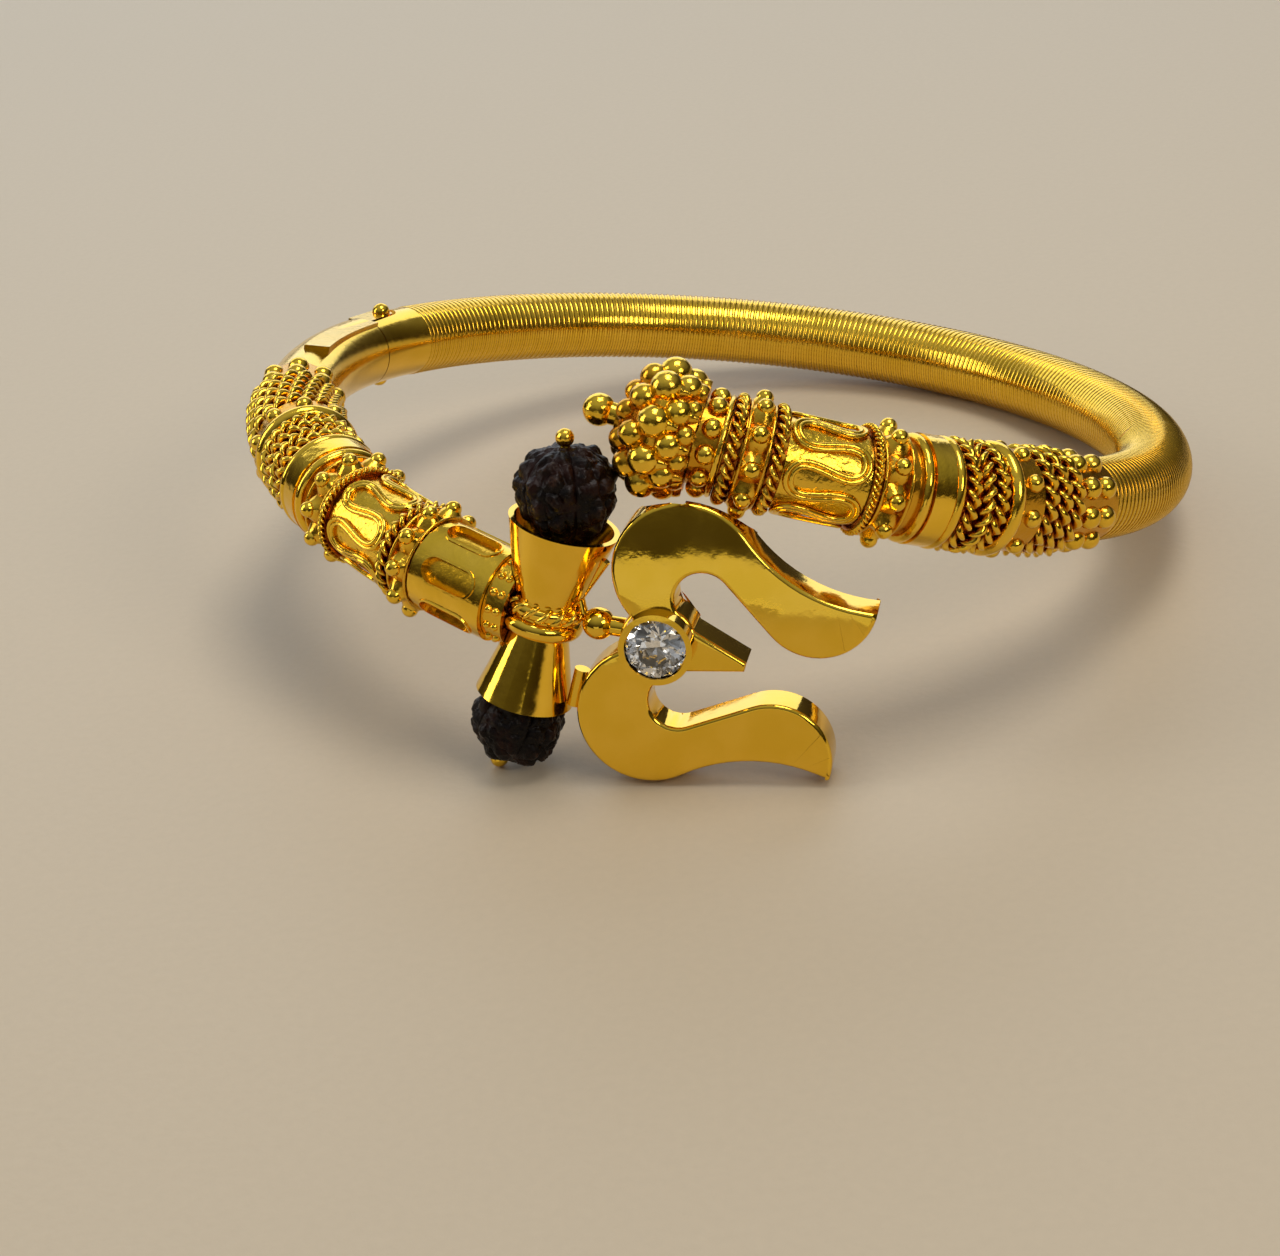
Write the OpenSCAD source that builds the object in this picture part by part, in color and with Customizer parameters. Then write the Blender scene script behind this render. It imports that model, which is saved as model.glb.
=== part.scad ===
// Kada bangle: an open-fronted hinged bangle whose right arm ends in a berry knob and whose left arm
// ends in a damru with two rudraksha beads and a trident. It is drawn flat in the plane of its ring,
// x to the right and y away from the front, and then laid down as it rests on a floor.
// All sizes are in millimetres and all angles in degrees.

/* [Ring] */
// Radius of the tube's centre line
ring_r = 34.75; // [32:0.25:38]
// Radius of the wound tube
tube_r = 3; // [2.8:0.1:3.4]
// Wall of the hollow tube
tube_wall = 0.6; // [0.4:0.1:0.8]
// Radius of the core rod that carries the ornaments
core_r = 2.2; // [1.8:0.1:2.3]
// Clearance between a piece and what it is fitted on
fit_gap = 0.05; // [0.03:0.01:0.1]
// Gap between neighbouring ornaments
slot_gap = 0.04; // [0.02:0.01:0.1]

/* [Right arm] */
// Where the right arm leaves the plane of the ring, counted round from the right side
right_angle = -6; // [-12:1:0]
// Tilt that lifts the right arm above the ring
right_rise = 10.8; // [9:0.5:14]
// Radius of the right arm's centre line
right_r = 34.6; // [33:0.1:38]
// Plain wound length of the right arm before its first ornament
right_start = 22.2; // [18:0.2:24]

/* [Left arm] */
// Where the left arm leaves the plane of the ring
left_angle = 154.4; // [150:0.2:158]
// Tilt that lowers the left arm below the ring
left_dip = 10.1; // [8:0.1:12]
// Radius of the left arm's centre line
left_r = 36.3; // [35:0.1:38]
// Smooth length of the left arm before its first ornament
left_start = 17.4; // [14:0.2:18]

/* [Ornament lengths] */
// Collar with two rows of granules
double_granule_len = 4.3; // [3.6:0.1:5]
// Collar with one row of granules
granule_len = 1.7; // [1.4:0.1:2.2]
// Plain half-round ring
plain_len = 1.2; // [0.8:0.1:1.6]
// Pitch of the rope rows in the band next to the tube
rope_pitch_a = 1.27; // [1:0.01:1.4]
// Pitch of the rope rows in the second band
rope_pitch_b = 1.12; // [1:0.01:1.3]
// Rope rows of both bands on the right arm
right_rope_rows = 3; // [2:1:4]
// Rope rows of the band next to the tube on the left arm
left_rope_rows_a = 5; // [4:1:6]
// Rope rows of the second band on the left arm
left_rope_rows_b = 4; // [3:1:5]
// Plain rings with a broad band between them
ring_set_len = 3.65; // [2.8:0.05:4]
// Collar of pointed studs on the tube side of the looping wire
stud_len_a = 2.25; // [1.9:0.05:2.6]
// Collar of pointed studs on the tip side of the looping wire
stud_len_b = 1.9; // [1.7:0.05:2.2]
// Thin rope ring on the tube side of the looping wire
thin_rope_len = 0.6; // [0.5:0.05:0.8]
// Single rope ring
rope_ring_len = 0.95; // [0.8:0.05:1.2]
// Barrel under the looping wire
wave_len = 5.65; // [5:0.05:6.6]
// Ring of small petals
petal_len = 1.9; // [1.6:0.1:2.4]
// Berry knob
cap_len = 5.4; // [4.8:0.1:6]
// Barrel with the long recesses
slotted_len = 5.8; // [5:0.1:6.5]
// Collar of very small granules
small_granule_len = 1.5; // [1.2:0.1:1.8]

/* [Ornament radii] */
// Tips of the double granule collar
double_granule_tip = 3.85; // [3.6:0.05:4.2]
// Tips of the single granule collar
granule_tip = 4.25; // [4:0.05:4.5]
// Outside of the rope bands
rope_tip = 4.05; // [3.8:0.05:4.3]
// Outside of the plain ring
plain_tip = 4.1; // [3.8:0.05:4.3]
// Outside of the ring set
ring_set_tip = 3.9; // [3.6:0.05:4.2]
// Tips of the stud collars
stud_tip = 4.55; // [4.3:0.05:4.8]
// Outside of the single rope rings
rope_ring_tip = 3.95; // [3.7:0.05:4.2]
// Barrel under the looping wire
wave_barrel_r = 3.2; // [3:0.05:3.5]
// Wire laid round the barrel
wave_wire_r = 0.3; // [0.22:0.02:0.36]
// Tips of the petal ring
petal_tip = 3.9; // [3.7:0.05:4.2]
// Tips of the berries at the knob's widest row
cap_tip = 5.05; // [4.6:0.05:5.2]
// Ball at the tip of the right arm
finial_r = 1.16; // [0.9:0.02:1.4]
// Barrel with the long recesses
slotted_r = 3.4; // [3.2:0.05:3.7]
// Tips of the collar of very small granules
small_granule_tip = 3.35; // [3.1:0.05:3.6]

/* [Ornament counts] */
// Granules in one row
granule_count = 9; // [7:1:11]
// Studs in one collar
stud_count = 10; // [8:1:11]
// Loops of the wire round its barrel
wave_count = 6; // [5:1:7]
// Petals of the petal ring
petal_count = 11; // [9:1:13]
// Recesses round the slotted barrel
slot_count = 6; // [5:1:7]
// Very small granules in one row
small_granule_count = 15; // [12:1:17]

/* [Hinge] */
// Distance of the pin behind the left arm's start
pin_back = 2; // [1.6:0.1:2.4]
// Distance of the pin outside the tube's centre line
pin_out = 0.5; // [0.3:0.1:0.8]
// Radius of the round seam about the pin
seam_r = 3.6; // [3.5:0.1:3.9]
// Gap between the two halves at the seam
seam_gap = 0.12; // [0.08:0.01:0.2]
// Radius of the pin
pin_r = 0.45; // [0.35:0.05:0.5]
// Radial clearance between the pin and the bore of the tube
pin_gap = 0.04; // [0.02:0.01:0.08]
// Radius of the pin's round heads
pin_head_r = 0.78; // [0.65:0.01:0.85]
// Radius of the cheeks round the pin
cheek_r = 1; // [0.9:0.05:1.1]
// Half the height over the cheeks
cheek_top = 2.9; // [2.8:0.05:3]
// Half the height of the tongue between the cheeks
tongue_top = 2.15; // [1.9:0.05:2.3]
// Gap between the tongue and each cheek
cheek_gap = 0.07; // [0.05:0.01:0.12]
// Room round the cheeks in their pockets
pocket_gap = 0.3; // [0.2:0.05:0.4]
// Width of the flat strip on the sleeve
strip_w = 2.1; // [1.6:0.1:2.4]
// Length of the flat strip on the sleeve
strip_len = 13.5; // [9:0.5:14]

/* [Damru] */
// Distance of the drum's axis along the left arm
damru_station = 59.4; // [59:0.1:60.4]
// Radius of the drum's upper mouth
top_mouth_r = 3.95; // [3.8:0.05:4.1]
// Radius of the drum's lower mouth
bottom_mouth_r = 3.5; // [3.3:0.05:3.7]
// Radius of the drum's neck under the upper cup
top_neck_r = 2.45; // [2.2:0.05:2.5]
// Radius of the drum's neck over the lower cup
bottom_neck_r = 2.1; // [1.9:0.05:2.4]
// Height of the upper mouth above the waist
damru_top = 6.8; // [6.2:0.1:7.4]
// Depth of the lower mouth below the waist
damru_bottom = 6.5; // [6.2:0.1:7.2]
// Wall of the cups
cup_wall = 0.4; // [0.3:0.05:0.5]
// Outer radius of the rings at the waist
waist_r = 2.98; // [2.8:0.02:3.1]

/* [Beads] */
// Radius of the upper rudraksha over its ridges
top_bead_r = 3.85; // [3.7:0.05:4]
// Radius of the lower rudraksha over its ridges
bottom_bead_r = 3.6; // [3.4:0.05:3.8]
// Depth of the grooves of a bead, as a share of its radius
bead_groove = 0.14; // [0.06:0.01:0.16]
// Radius of the balls at the pins' ends
pin_ball_r = 0.66; // [0.6:0.02:0.9]
// Radius of the bead pins
bead_pin_r = 0.35; // [0.3:0.05:0.45]
// Shift of the upper bead back along the arm
top_bead_shift = 0.3; // [0:0.05:0.4]
// Lean of the upper bead in its cup
top_bead_lean = 16; // [0:1:18]
// Lean of the lower bead in its cup
bottom_bead_lean = 12; // [0:1:12]

/* [Trident] */
// Distance of the trident's stone along the left arm
trident_station = 68; // [67.6:0.1:69]
// Height of the trident's axis above the arm
trident_lift = 1.15; // [0.9:0.05:1.3]
// Room kept between the trident and the berry knob over it
cap_gap = 0.35; // [0.3:0.05:0.5]
// Thickness of the plate
trident_t = 3.1; // [2.6:0.1:3.2]
// Radius of the outside of each side prong's bow
bow_r = 5.05; // [4.8:0.05:5.1]
// Height of each bow's centre above the axis
bow_rise = 5.45; // [5.3:0.05:5.5]
// Radius of the hole inside each bow
bow_hole_r = 1.95; // [1.7:0.05:2.1]
// Reach of the side prongs' tips beyond the stone
prong_reach = 13.8; // [13.2:0.1:14.2]
// Reach of the middle prong beyond the stone
middle_reach = 6.2; // [5.6:0.1:7]
// Outer radius of the bezel
bezel_r = 2.57; // [2.5:0.01:2.65]
// Height of the bezel above the plate
bezel_h = 1.3; // [1:0.1:1.6]
// Radius of the round stone
stone_r = 2.1; // [1.9:0.05:2.15]
// Radius of the ball between damru and trident
link_ball_r = 1.15; // [1:0.05:1.25]

/* [Hidden] */
$fn = 48;

GOLD = "goldenrod";
BEAD = "saddlebrown";
STONE = "lightcyan";

// Slots of the ornaments along an arm, counted from the tube to the tip
DOUBLE_GRANULE = 0;
ROPE_A = 1;
GRANULE = 2;
PLAIN = 3;
ROPE_B = 4;
RING_SET = 5;
STUD_A = 6;
ROPE_RING_A = 7;
WAVE = 8;
ROPE_RING_B = 9;
STUD_B = 10;
ROPE_RING_C = 11;
PETAL = 12;
CAP = 13;
SLOTTED = 11;
SMALL_GRANULE = 12;

function shared_lengths(rows_a, rows_b) = [double_granule_len, rows_a * rope_pitch_a, granule_len,
    plain_len, rows_b * rope_pitch_b, ring_set_len, stud_len_a, thin_rope_len, wave_len,
    rope_ring_len, stud_len_b];

// An arm: where it leaves the ring, its tilt, its radius, its sense round the ring, the length
// before its first ornament, and the lengths of its ornaments
RIGHT = [right_angle, right_rise, right_r, -1, right_start,
    concat(shared_lengths(right_rope_rows, right_rope_rows), [rope_ring_len, petal_len, cap_len])];
LEFT = [left_angle, -left_dip, left_r, 1, left_start,
    concat(shared_lengths(left_rope_rows_a, left_rope_rows_b), [slotted_len, small_granule_len])];

function sum_to(v, n) = n <= 0 ? 0 : v[n - 1] + sum_to(v, n - 1);
function slot_len(arm, i) = arm[5][i];
function slot_start(arm, i) = arm[4] + sum_to(arm[5], i);
function slot_mid(arm, i) = slot_start(arm, i) + slot_len(arm, i) / 2;
function turn(arm, s) = arm[3] * s / arm[2] * 180 / PI;
function sag(arm, len) = len * len / 8 / arm[2];

// The same placing as the module at(), for a point or for a direction (w = 0)
function spin_z(p, a) = [p.x * cos(a) - p.y * sin(a), p.x * sin(a) + p.y * cos(a), p.z];
function spin_y(p, a) = [p.x * cos(a) + p.z * sin(a), p.y, p.z * cos(a) - p.x * sin(a)];
function placed(arm, s, p, w = 1) =
    spin_z(spin_y(spin_z(p + [w * arm[2], 0, 0], turn(arm, s)) - [w * arm[2], 0, 0], arm[1])
        + [w * ring_r, 0, 0], arm[0]);

// Frame of an arm at a distance s along it: x away from the wrist, y round the ring, z up
module at(arm, s) {
    rotate([0, 0, arm[0]])
        translate([ring_r, 0, 0])
            rotate([0, arm[1], 0])
                translate([-arm[2], 0, 0])
                    rotate([0, 0, turn(arm, s)])
                        translate([arm[2], 0, 0])
                            children();
}

// The same frame with z along the arm towards its tip
module along(arm, s) {
    at(arm, s)
        rotate([-90 * arm[3], 0, 0])
            children();
}

// A torus piece of an arm from s0 to s1, with its outline drawn round the centre line
module arm_sweep(arm, s0, s1) {
    at(arm, arm[3] > 0 ? s0 : s1)
        translate([-arm[2], 0, 0])
            rotate_extrude(angle = abs(turn(arm, s1 - s0)))
                translate([arm[2], 0])
                    children();
}

// A torus piece of the ring itself between two angles
module ring_sweep(a0, a1) {
    rotate([0, 0, a0])
        rotate_extrude(angle = a1 - a0)
            translate([ring_r, 0])
                children();
}

// Room of one ornament between its two radial planes, or past the first one at an arm's tip
module slot_room(arm, len, last = false) {
    reach = cap_tip + 1;
    half = tan(len / 2 / arm[2] * 180 / PI);
    beyond = last ? len : 0;
    rotate([90, 0, 0])
        linear_extrude(height = 2 * reach, center = true)
            polygon([
                [-reach, -(arm[2] - reach) * half + slot_gap / 2],
                [reach, -(arm[2] + reach) * half + slot_gap / 2],
                [reach, (arm[2] + reach) * half - slot_gap / 2 + beyond],
                [-reach, (arm[2] - reach) * half - slot_gap / 2 + beyond]]);
}

function bore_r(arm, len) = core_r + fit_gap + sag(arm, len);

// An ornament in slot i: its children lie round the z axis and are cut to the slot and bored
module ornament(arm, i) {
    len = slot_len(arm, i);
    color(GOLD)
        along(arm, slot_mid(arm, i))
            difference() {
                intersection() {
                    children();
                    slot_room(arm, len);
                }
                cylinder(r = bore_r(arm, len), h = 3 * len, center = true);
            }
}

// One row of balls round the axis
module ball_row(count, radius, ball, z = 0, phase = 0) {
    for (k = [0 : count - 1])
        rotate([0, 0, (k + phase) * 360 / count])
            translate([radius, 0, z])
                sphere(r = ball);
}

module granule_collar(len, rows, count, tip) {
    pitch = len / rows;
    ball = pitch * 0.4;
    band = 0.16 * pitch;
    cylinder(r = tip - 0.9 * ball, h = 2 * len, center = true);
    for (row = [0 : rows - 1])
        ball_row(count, tip - ball, ball, (row - (rows - 1) / 2) * (pitch - band));
}

// Rope rows are plain rings here, joined by a sleeve under them
module rope_rows(len, rows, tip) {
    pitch = len / rows;
    wire = pitch / 2 + 0.01;
    rotate_extrude()
        union() {
            translate([0, -len])
                square([tip - wire, 2 * len]);
            for (row = [0 : rows - 1])
                translate([tip - wire, (row - (rows - 1) / 2) * pitch])
                    circle(r = wire);
        }
}

module half_round_ring(len, tip, z = 0) {
    rotate_extrude()
        translate([0, z])
            union() {
                translate([0, -len / 2])
                    square([tip - len / 2, len]);
                translate([tip - len / 2, 0])
                    circle(r = len / 2);
            }
}

// Two plain rings, a broad band between them and a groove on the tip side
module ring_set(len, tip) {
    thin = 0.23 * len;
    broad = 0.42 * len;
    groove = len - 2 * thin - broad;
    half_round_ring(thin, tip + 0.1, (thin - len) / 2);
    translate([0, 0, thin - len / 2 - 0.02])
        cylinder(r = tip, h = broad + 0.04);
    half_round_ring(thin, tip - 0.05, thin / 2 + thin + broad - len / 2);
    translate([0, 0, len / 2 - groove - 0.02])
        cylinder(r = tip - 0.6, h = groove + 0.5);
    translate([0, 0, -2 * len])
        cylinder(r = tip - 0.6, h = 3 * len);
}

// A stud is a round top on a wide conical foot
stud_top_r = 0.62;
stud_neck_r = 0.5;
stud_neck_up = 0.1;
stud_foot_r = 1.18;
stud_h = 1.37;
stud_floor = 1.25;
stud_rim = 0.12;
stud_rim_drop = 0.88;

module stud(tip) {
    translate([tip - stud_h, 0, 0])
        rotate([0, 90, 0])
            cylinder(r1 = stud_foot_r, r2 = stud_neck_r, h = stud_h - stud_top_r + stud_neck_up);
    translate([tip - stud_top_r, 0, 0])
        sphere(r = stud_top_r);
}

module stud_collar(len, count, tip) {
    rim = stud_rim * len;
    cylinder(r = tip - stud_floor, h = 2 * len, center = true);
    for (side = [-1, 1])
        half_round_ring(rim, tip - stud_rim_drop, side * (len / 2 - rim / 2));
    for (k = [0 : count - 1])
        rotate([0, 0, k * 360 / count])
            stud(tip);
}

// Small petals: balls with a cone that points back to the tube, over a plain rim
module petal_ring(len, count, tip) {
    ball = 0.38 * len;
    rim = 0.24 * len;
    half_round_ring(rim, tip - 0.3, rim / 2 - len / 2);
    cylinder(r = tip - 1.15 * ball, h = 2 * len, center = true);
    for (k = [0 : count - 1])
        rotate([0, 0, k * 360 / count])
            translate([tip - ball, 0, len / 2 - 1.15 * ball])
                drop(ball);
}

// A ball drawn out to a blunt point on its -z side
module drop(ball) {
    sphere(r = ball);
    rotate([180, 0, 0])
        cylinder(r1 = 0.94 * ball, r2 = 0.2 * ball, h = 1.45 * ball);
}

// Barrel with long recesses, each with a raised rim
recess_depth = 0.45;
recess_rim = 0.16;
recess_rim_h = 0.1;
recess_end = 0.55;
recess_phase = -0.28;

module slotted_barrel_body(len) {
    half_w = slotted_r * sin(360 / slot_count * 0.32);
    half_l = len / 2 - recess_end;
    difference() {
        union() {
            cylinder(r = slotted_r, h = 2 * len, center = true);
            for (k = [0 : slot_count - 1])
                rotate([0, 0, (k + recess_phase) * 360 / slot_count])
                    intersection() {
                        stadium(half_l, half_w);
                        cylinder(r = slotted_r + recess_rim_h, h = 2 * len, center = true);
                    }
        }
        for (k = [0 : slot_count - 1])
            rotate([0, 0, (k + recess_phase) * 360 / slot_count])
                difference() {
                    stadium(half_l - recess_rim, half_w - recess_rim);
                    cylinder(r = slotted_r - recess_depth, h = 3 * len, center = true);
                }
    }
}

// A block with round ends, pointing along x, long along z
module stadium(half_l, half_w) {
    straight = half_l - half_w;
    translate([0.65 * slotted_r, 0, 0])
        rotate([0, 90, 0])
            linear_extrude(height = slotted_r)
                polygon(concat(
                    [for (k = [0 : 12]) [straight, 0] + half_w * [sin(15 * k), cos(15 * k)]],
                    [for (k = [0 : 12]) [-straight, 0] - half_w * [sin(15 * k), cos(15 * k)]]));
}

// The looping wire: its line on the barrel is a wave whose turns bulge past their strokes
wave_lift = 0.02;
wave_end = 0.12;
right_wave_phase = 1;
left_wave_phase = -20;

function wave_point(t, lay_r, reach) =
    let (
        step = 2 * PI * lay_r / wave_count,
        round_way = step * t / 360 + 0.17 * step * sin(2 * t),
        a = round_way / lay_r * 180 / PI
    )
    [lay_r * cos(a), lay_r * sin(a), reach * cos(t)];

module wave_wire_body(arm, phase, len) {
    sides = 6;
    steps = 22;
    count = wave_count * steps;
    lay_r = wave_barrel_r + wave_wire_r + wave_lift;
    reach = len / 2 - wave_wire_r - wave_end;
    line = [for (k = [0 : count - 1]) let (p = spin_z(wave_point(k * 360 / steps, lay_r, reach), phase))
        [p.x, p.y, p.z * (arm[2] + p.x) / arm[2]]];
    points = [for (k = [0 : count - 1])
        let (
            along_line = line[(k + 1) % count] - line[(k + count - 1) % count],
            unit = along_line / norm(along_line),
            out = [line[k].x, line[k].y, 0] / norm([line[k].x, line[k].y]),
            side = cross(unit, out)
        )
        for (j = [0 : sides - 1])
            line[k] + wave_wire_r * (cos((j + 0.5) * 360 / sides) * out
                + sin((j + 0.5) * 360 / sides) * side / norm(side))];
    polyhedron(points = points, faces = [for (k = [0 : count - 1]) for (j = [0 : sides - 1])
        [((k + 1) % count) * sides + j, ((k + 1) % count) * sides + (j + 1) % sides,
            k * sides + (j + 1) % sides, k * sides + j]]);
}

module wave_wire(arm, phase) {
    color(GOLD)
        along(arm, slot_mid(arm, WAVE))
            wave_wire_body(arm, phase, wave_len);
}

module wave_barrel_body(len) {
    cylinder(r = wave_barrel_r, h = 2 * len, center = true);
}

// Rows of the berry knob from the tube side: height of the berries' centres over the knob's middle,
// how far their tips lie inside the widest row, their radius, their number and their phase
CAP_ROWS = [
    [-2.25, 0.85, 0.75, 12, 0.5],
    [-1.4, 0.4, 1, 10, 0],
    [-0.05, 0, 1.15, 9, 0.5],
    [1.2, 0.75, 1, 8, 0],
    [2.1, 2.2, 0.85, 6, 0.5]];
// Outline of the knob's body under the berries: depth below the widest berries' tips, and height
// over the knob's middle; it ends in a boss round the ball's neck
CAP_BODY = [[1.75, -2.8], [1.3, -1.4], [1, -0.1], [1.7, 1.2], [2.95, 2.1], [3.75, 2.6], [3.85, 2.9]];
cap_bore_top = 0.05 * cap_len;

finial_neck_r = 0.8;
finial_neck_len = 0.45;
finial_neck_depth = 2;

module berry_cap() {
    color(GOLD)
        along(RIGHT, slot_mid(RIGHT, CAP))
            difference() {
                intersection() {
                    union() {
                        rotate_extrude()
                            polygon(concat(
                                [[0, CAP_BODY[0].y]],
                                [for (p = CAP_BODY) [cap_tip - p.x, p.y]],
                                [[0, CAP_BODY[len(CAP_BODY) - 1].y]]));
                        for (row = CAP_ROWS)
                            for (k = [0 : row[3] - 1])
                                rotate([0, 0, (k + row[4]) * 360 / row[3]])
                                    translate([cap_tip - row[1] - row[2], 0, row[0]])
                                        drop(row[2]);
                    }
                    slot_room(RIGHT, cap_len, last = true);
                }
                translate([0, 0, cap_bore_top - cap_len])
                    cylinder(r = bore_r(RIGHT, cap_len), h = cap_len);
                cylinder(r = finial_neck_r + fit_gap, h = cap_len);
            }
}

module ball_finial() {
    color(GOLD)
        along(RIGHT, slot_mid(RIGHT, CAP))
            translate([0, 0, cap_len / 2 + finial_neck_len + finial_r]) {
                sphere(r = finial_r);
                translate([0, 0, -finial_r - finial_neck_depth])
                    cylinder(r = finial_neck_r, h = finial_r + finial_neck_depth);
            }
}

// Hinge: a fork of two cheeks on the sleeve straddles a tongue at the end of the tube
core_end = slot_start(RIGHT, CAP) + 0.45 * cap_len;
left_core_end = damru_station - waist_r - 2 * fit_gap;
plug_len = 4.5;
septum = 0.8;
joint_step = 0.01;
solid_end = 1.5;
overlap = 0.5;
sleeve_wall = tube_wall + 0.2;
strip_in = -strip_w / 2 - 0.05;

function ring_turn(d) = d / ring_r * 180 / PI;

// Frame of the pin: x away from the wrist, y along the tube towards the left arm, z up
module at_pin() {
    rotate([0, 0, left_angle - ring_turn(pin_back)])
        translate([ring_r + pin_out, 0, 0])
            children();
}

module pin_bore(r) {
    at_pin()
        cylinder(r = r, h = 3 * cheek_top, center = true);
}

// What lies beyond the seam, seen along the pin, with the seam moved by a gap
module beyond_seam(gap) {
    at_pin()
        translate([0, 0, -3 * tube_r])
            linear_extrude(height = 6 * tube_r)
                union() {
                    translate([-ring_r, seam_r + gap])
                        square([ring_r + 0.01, ring_r]);
                    difference() {
                        square([ring_r, seam_r + ring_r]);
                        circle(r = seam_r + gap);
                    }
                }
}

// Outline of a cheek up to the seam
module cheek_outline() {
    circle(r = cheek_r);
    polygon([
        [cheek_r, 0],
        [strip_in + strip_w - pin_out, seam_r + overlap],
        [strip_in - pin_out, seam_r + overlap],
        [-cheek_r, 0]]);
}

// Outline of the room that a cheek needs as it swings outwards
module pocket_outline() {
    room = cheek_r + pocket_gap;
    far = 2 * tube_r;
    circle(r = room);
    polygon([
        [0, -room],
        [far, -room],
        [far, far],
        [strip_in - pin_out - pocket_gap / 2, far],
        [strip_in - pin_out - pocket_gap / 2, seam_r],
        [-room, 0]]);
}

module wound_tube() {
    color(GOLD)
        difference() {
            union() {
                ring_sweep(right_angle, left_angle + ring_turn(seam_r - pin_back + overlap))
                    circle(r = tube_r);
                arm_sweep(RIGHT, 0, right_start - slot_gap)
                    circle(r = tube_r - joint_step);
                arm_sweep(RIGHT, right_start - slot_gap - overlap, core_end)
                    circle(r = core_r);
            }
            ring_sweep(right_angle + ring_turn(septum), left_angle - ring_turn(plug_len))
                circle(r = tube_r - tube_wall);
            arm_sweep(RIGHT, septum, right_start - solid_end)
                circle(r = tube_r - tube_wall);
            beyond_seam(0);
            pin_bore(pin_r + pin_gap);
            for (side = [-1, 1])
                at_pin()
                    translate([0, 0, side > 0 ? tongue_top : -tongue_top - tube_r])
                        linear_extrude(height = tube_r)
                            pocket_outline();
        }
}

module hinge_sleeve() {
    color(GOLD)
        difference() {
            union() {
                intersection() {
                    arm_sweep(LEFT, 0.1, left_start - slot_gap)
                        circle(r = tube_r);
                    beyond_seam(seam_gap);
                }
                arm_sweep(LEFT, left_start - slot_gap - overlap, left_core_end)
                    circle(r = core_r);
                for (side = [-1, 1])
                    cheek(side);
            }
            arm_sweep(LEFT, seam_r, left_start - solid_end)
                circle(r = tube_r - sleeve_wall);
            pin_bore(pin_r + pin_gap / 2);
        }
}

// One cheek with its flat strip on the sleeve
module cheek(side) {
    cheek_low = tongue_top + cheek_gap;
    at_pin()
        translate([0, 0, side > 0 ? cheek_low : -cheek_top])
            linear_extrude(height = cheek_top - cheek_low)
                cheek_outline();
    intersection() {
        arm_sweep(LEFT, seam_r - pin_back + seam_gap, strip_len)
            translate([strip_in, side > 0 ? 0 : -2 * cheek_top])
                square([strip_w, 2 * cheek_top]);
        cylinder(r = 2 * ring_r, h = 2 * cheek_top, center = true);
    }
}

module hinge_pin() {
    color(GOLD)
        at_pin() {
            cylinder(r = pin_r, h = 2 * (cheek_top + fit_gap), center = true);
            for (side = [-1, 1])
                mirror([0, 0, side > 0 ? 0 : 1])
                    translate([0, 0, cheek_top + fit_gap])
                        intersection() {
                            sphere(r = pin_head_r);
                            cylinder(r = 2 * pin_head_r, h = 2 * pin_head_r);
                        }
        }
}

// Damru
neck_half = 1.35;
waist_ring_r = 0.64;
waist_rope_r = 0.5;
strut_r = 0.34;
strut_foot_r = 0.3;
strut_drop = 1.5;
strut_out = 0.06;
knee_in = 0.6;
knee_rise = 0.8;
foot_in = 0.05;
foot_depth = 0.3;
cup_floor = 1.4;
bead_seat = 0.06;
pin_seat = 0.5;

// Height at which a bead of radius r, off the axis by a shift, rests in a cup
function bead_height(mouth_z, mouth_r, r, shift) =
    mouth_z + sqrt(max(0.01, pow(r, 2) - pow(mouth_r - cup_wall - bead_seat - shift, 2)));
top_bead_z = bead_height(damru_top, top_mouth_r, top_bead_r, top_bead_shift);
bottom_bead_z = -bead_height(damru_bottom, bottom_mouth_r, bottom_bead_r, 0);
cup_floor_z = neck_half + cup_floor;

// Outer radius of the upper cup at a height over the waist
function cup_r(z) =
    top_neck_r + (top_mouth_r - top_neck_r) * (z - neck_half) / (damru_top - neck_half);

module cup_outline(mouth_z, mouth_r, neck_r) {
    slope = (mouth_r - neck_r) / (mouth_z - neck_half);
    polygon([
        [0, 0],
        [neck_r, 0],
        [neck_r, neck_half],
        [mouth_r, mouth_z],
        [mouth_r - cup_wall, mouth_z],
        [neck_r + slope * cup_floor - cup_wall, cup_floor_z],
        [0, cup_floor_z]]);
}

// Frame of a bead at its middle, leaning back along the arm
module bead_frame(z, lean) {
    at(LEFT, damru_station)
        translate([0, z > 0 ? -top_bead_shift : 0, z])
            rotate([z > 0 ? lean : 180 - lean, 0, 0])
                children();
}

// Length of a pin from the bead's middle to its seat in the cup's floor
function pin_root(z, lean) = (abs(z) - cup_floor_z + pin_seat) / cos(lean);

module bead_pin_room() {
    bead_frame(top_bead_z, top_bead_lean)
        translate([0, 0, -pin_root(top_bead_z, top_bead_lean) - fit_gap])
            cylinder(r = bead_pin_r + fit_gap, h = top_bead_z);
    bead_frame(bottom_bead_z, bottom_bead_lean)
        translate([0, 0, -pin_root(bottom_bead_z, bottom_bead_lean) - fit_gap])
            cylinder(r = bead_pin_r + fit_gap, h = -bottom_bead_z);
}

// The bead of solder that runs from the upper cup down to the waist
module strut(grow) {
    top_z = damru_top - strut_drop;
    top = [0, cup_r(top_z) + strut_out, top_z];
    knee = [0, waist_r - knee_in, neck_half + knee_rise];
    foot = [0, waist_r - foot_in, neck_half - foot_depth];
    rod(top, knee, strut_r + grow);
    rod(knee, foot, strut_foot_r + grow);
}

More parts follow.
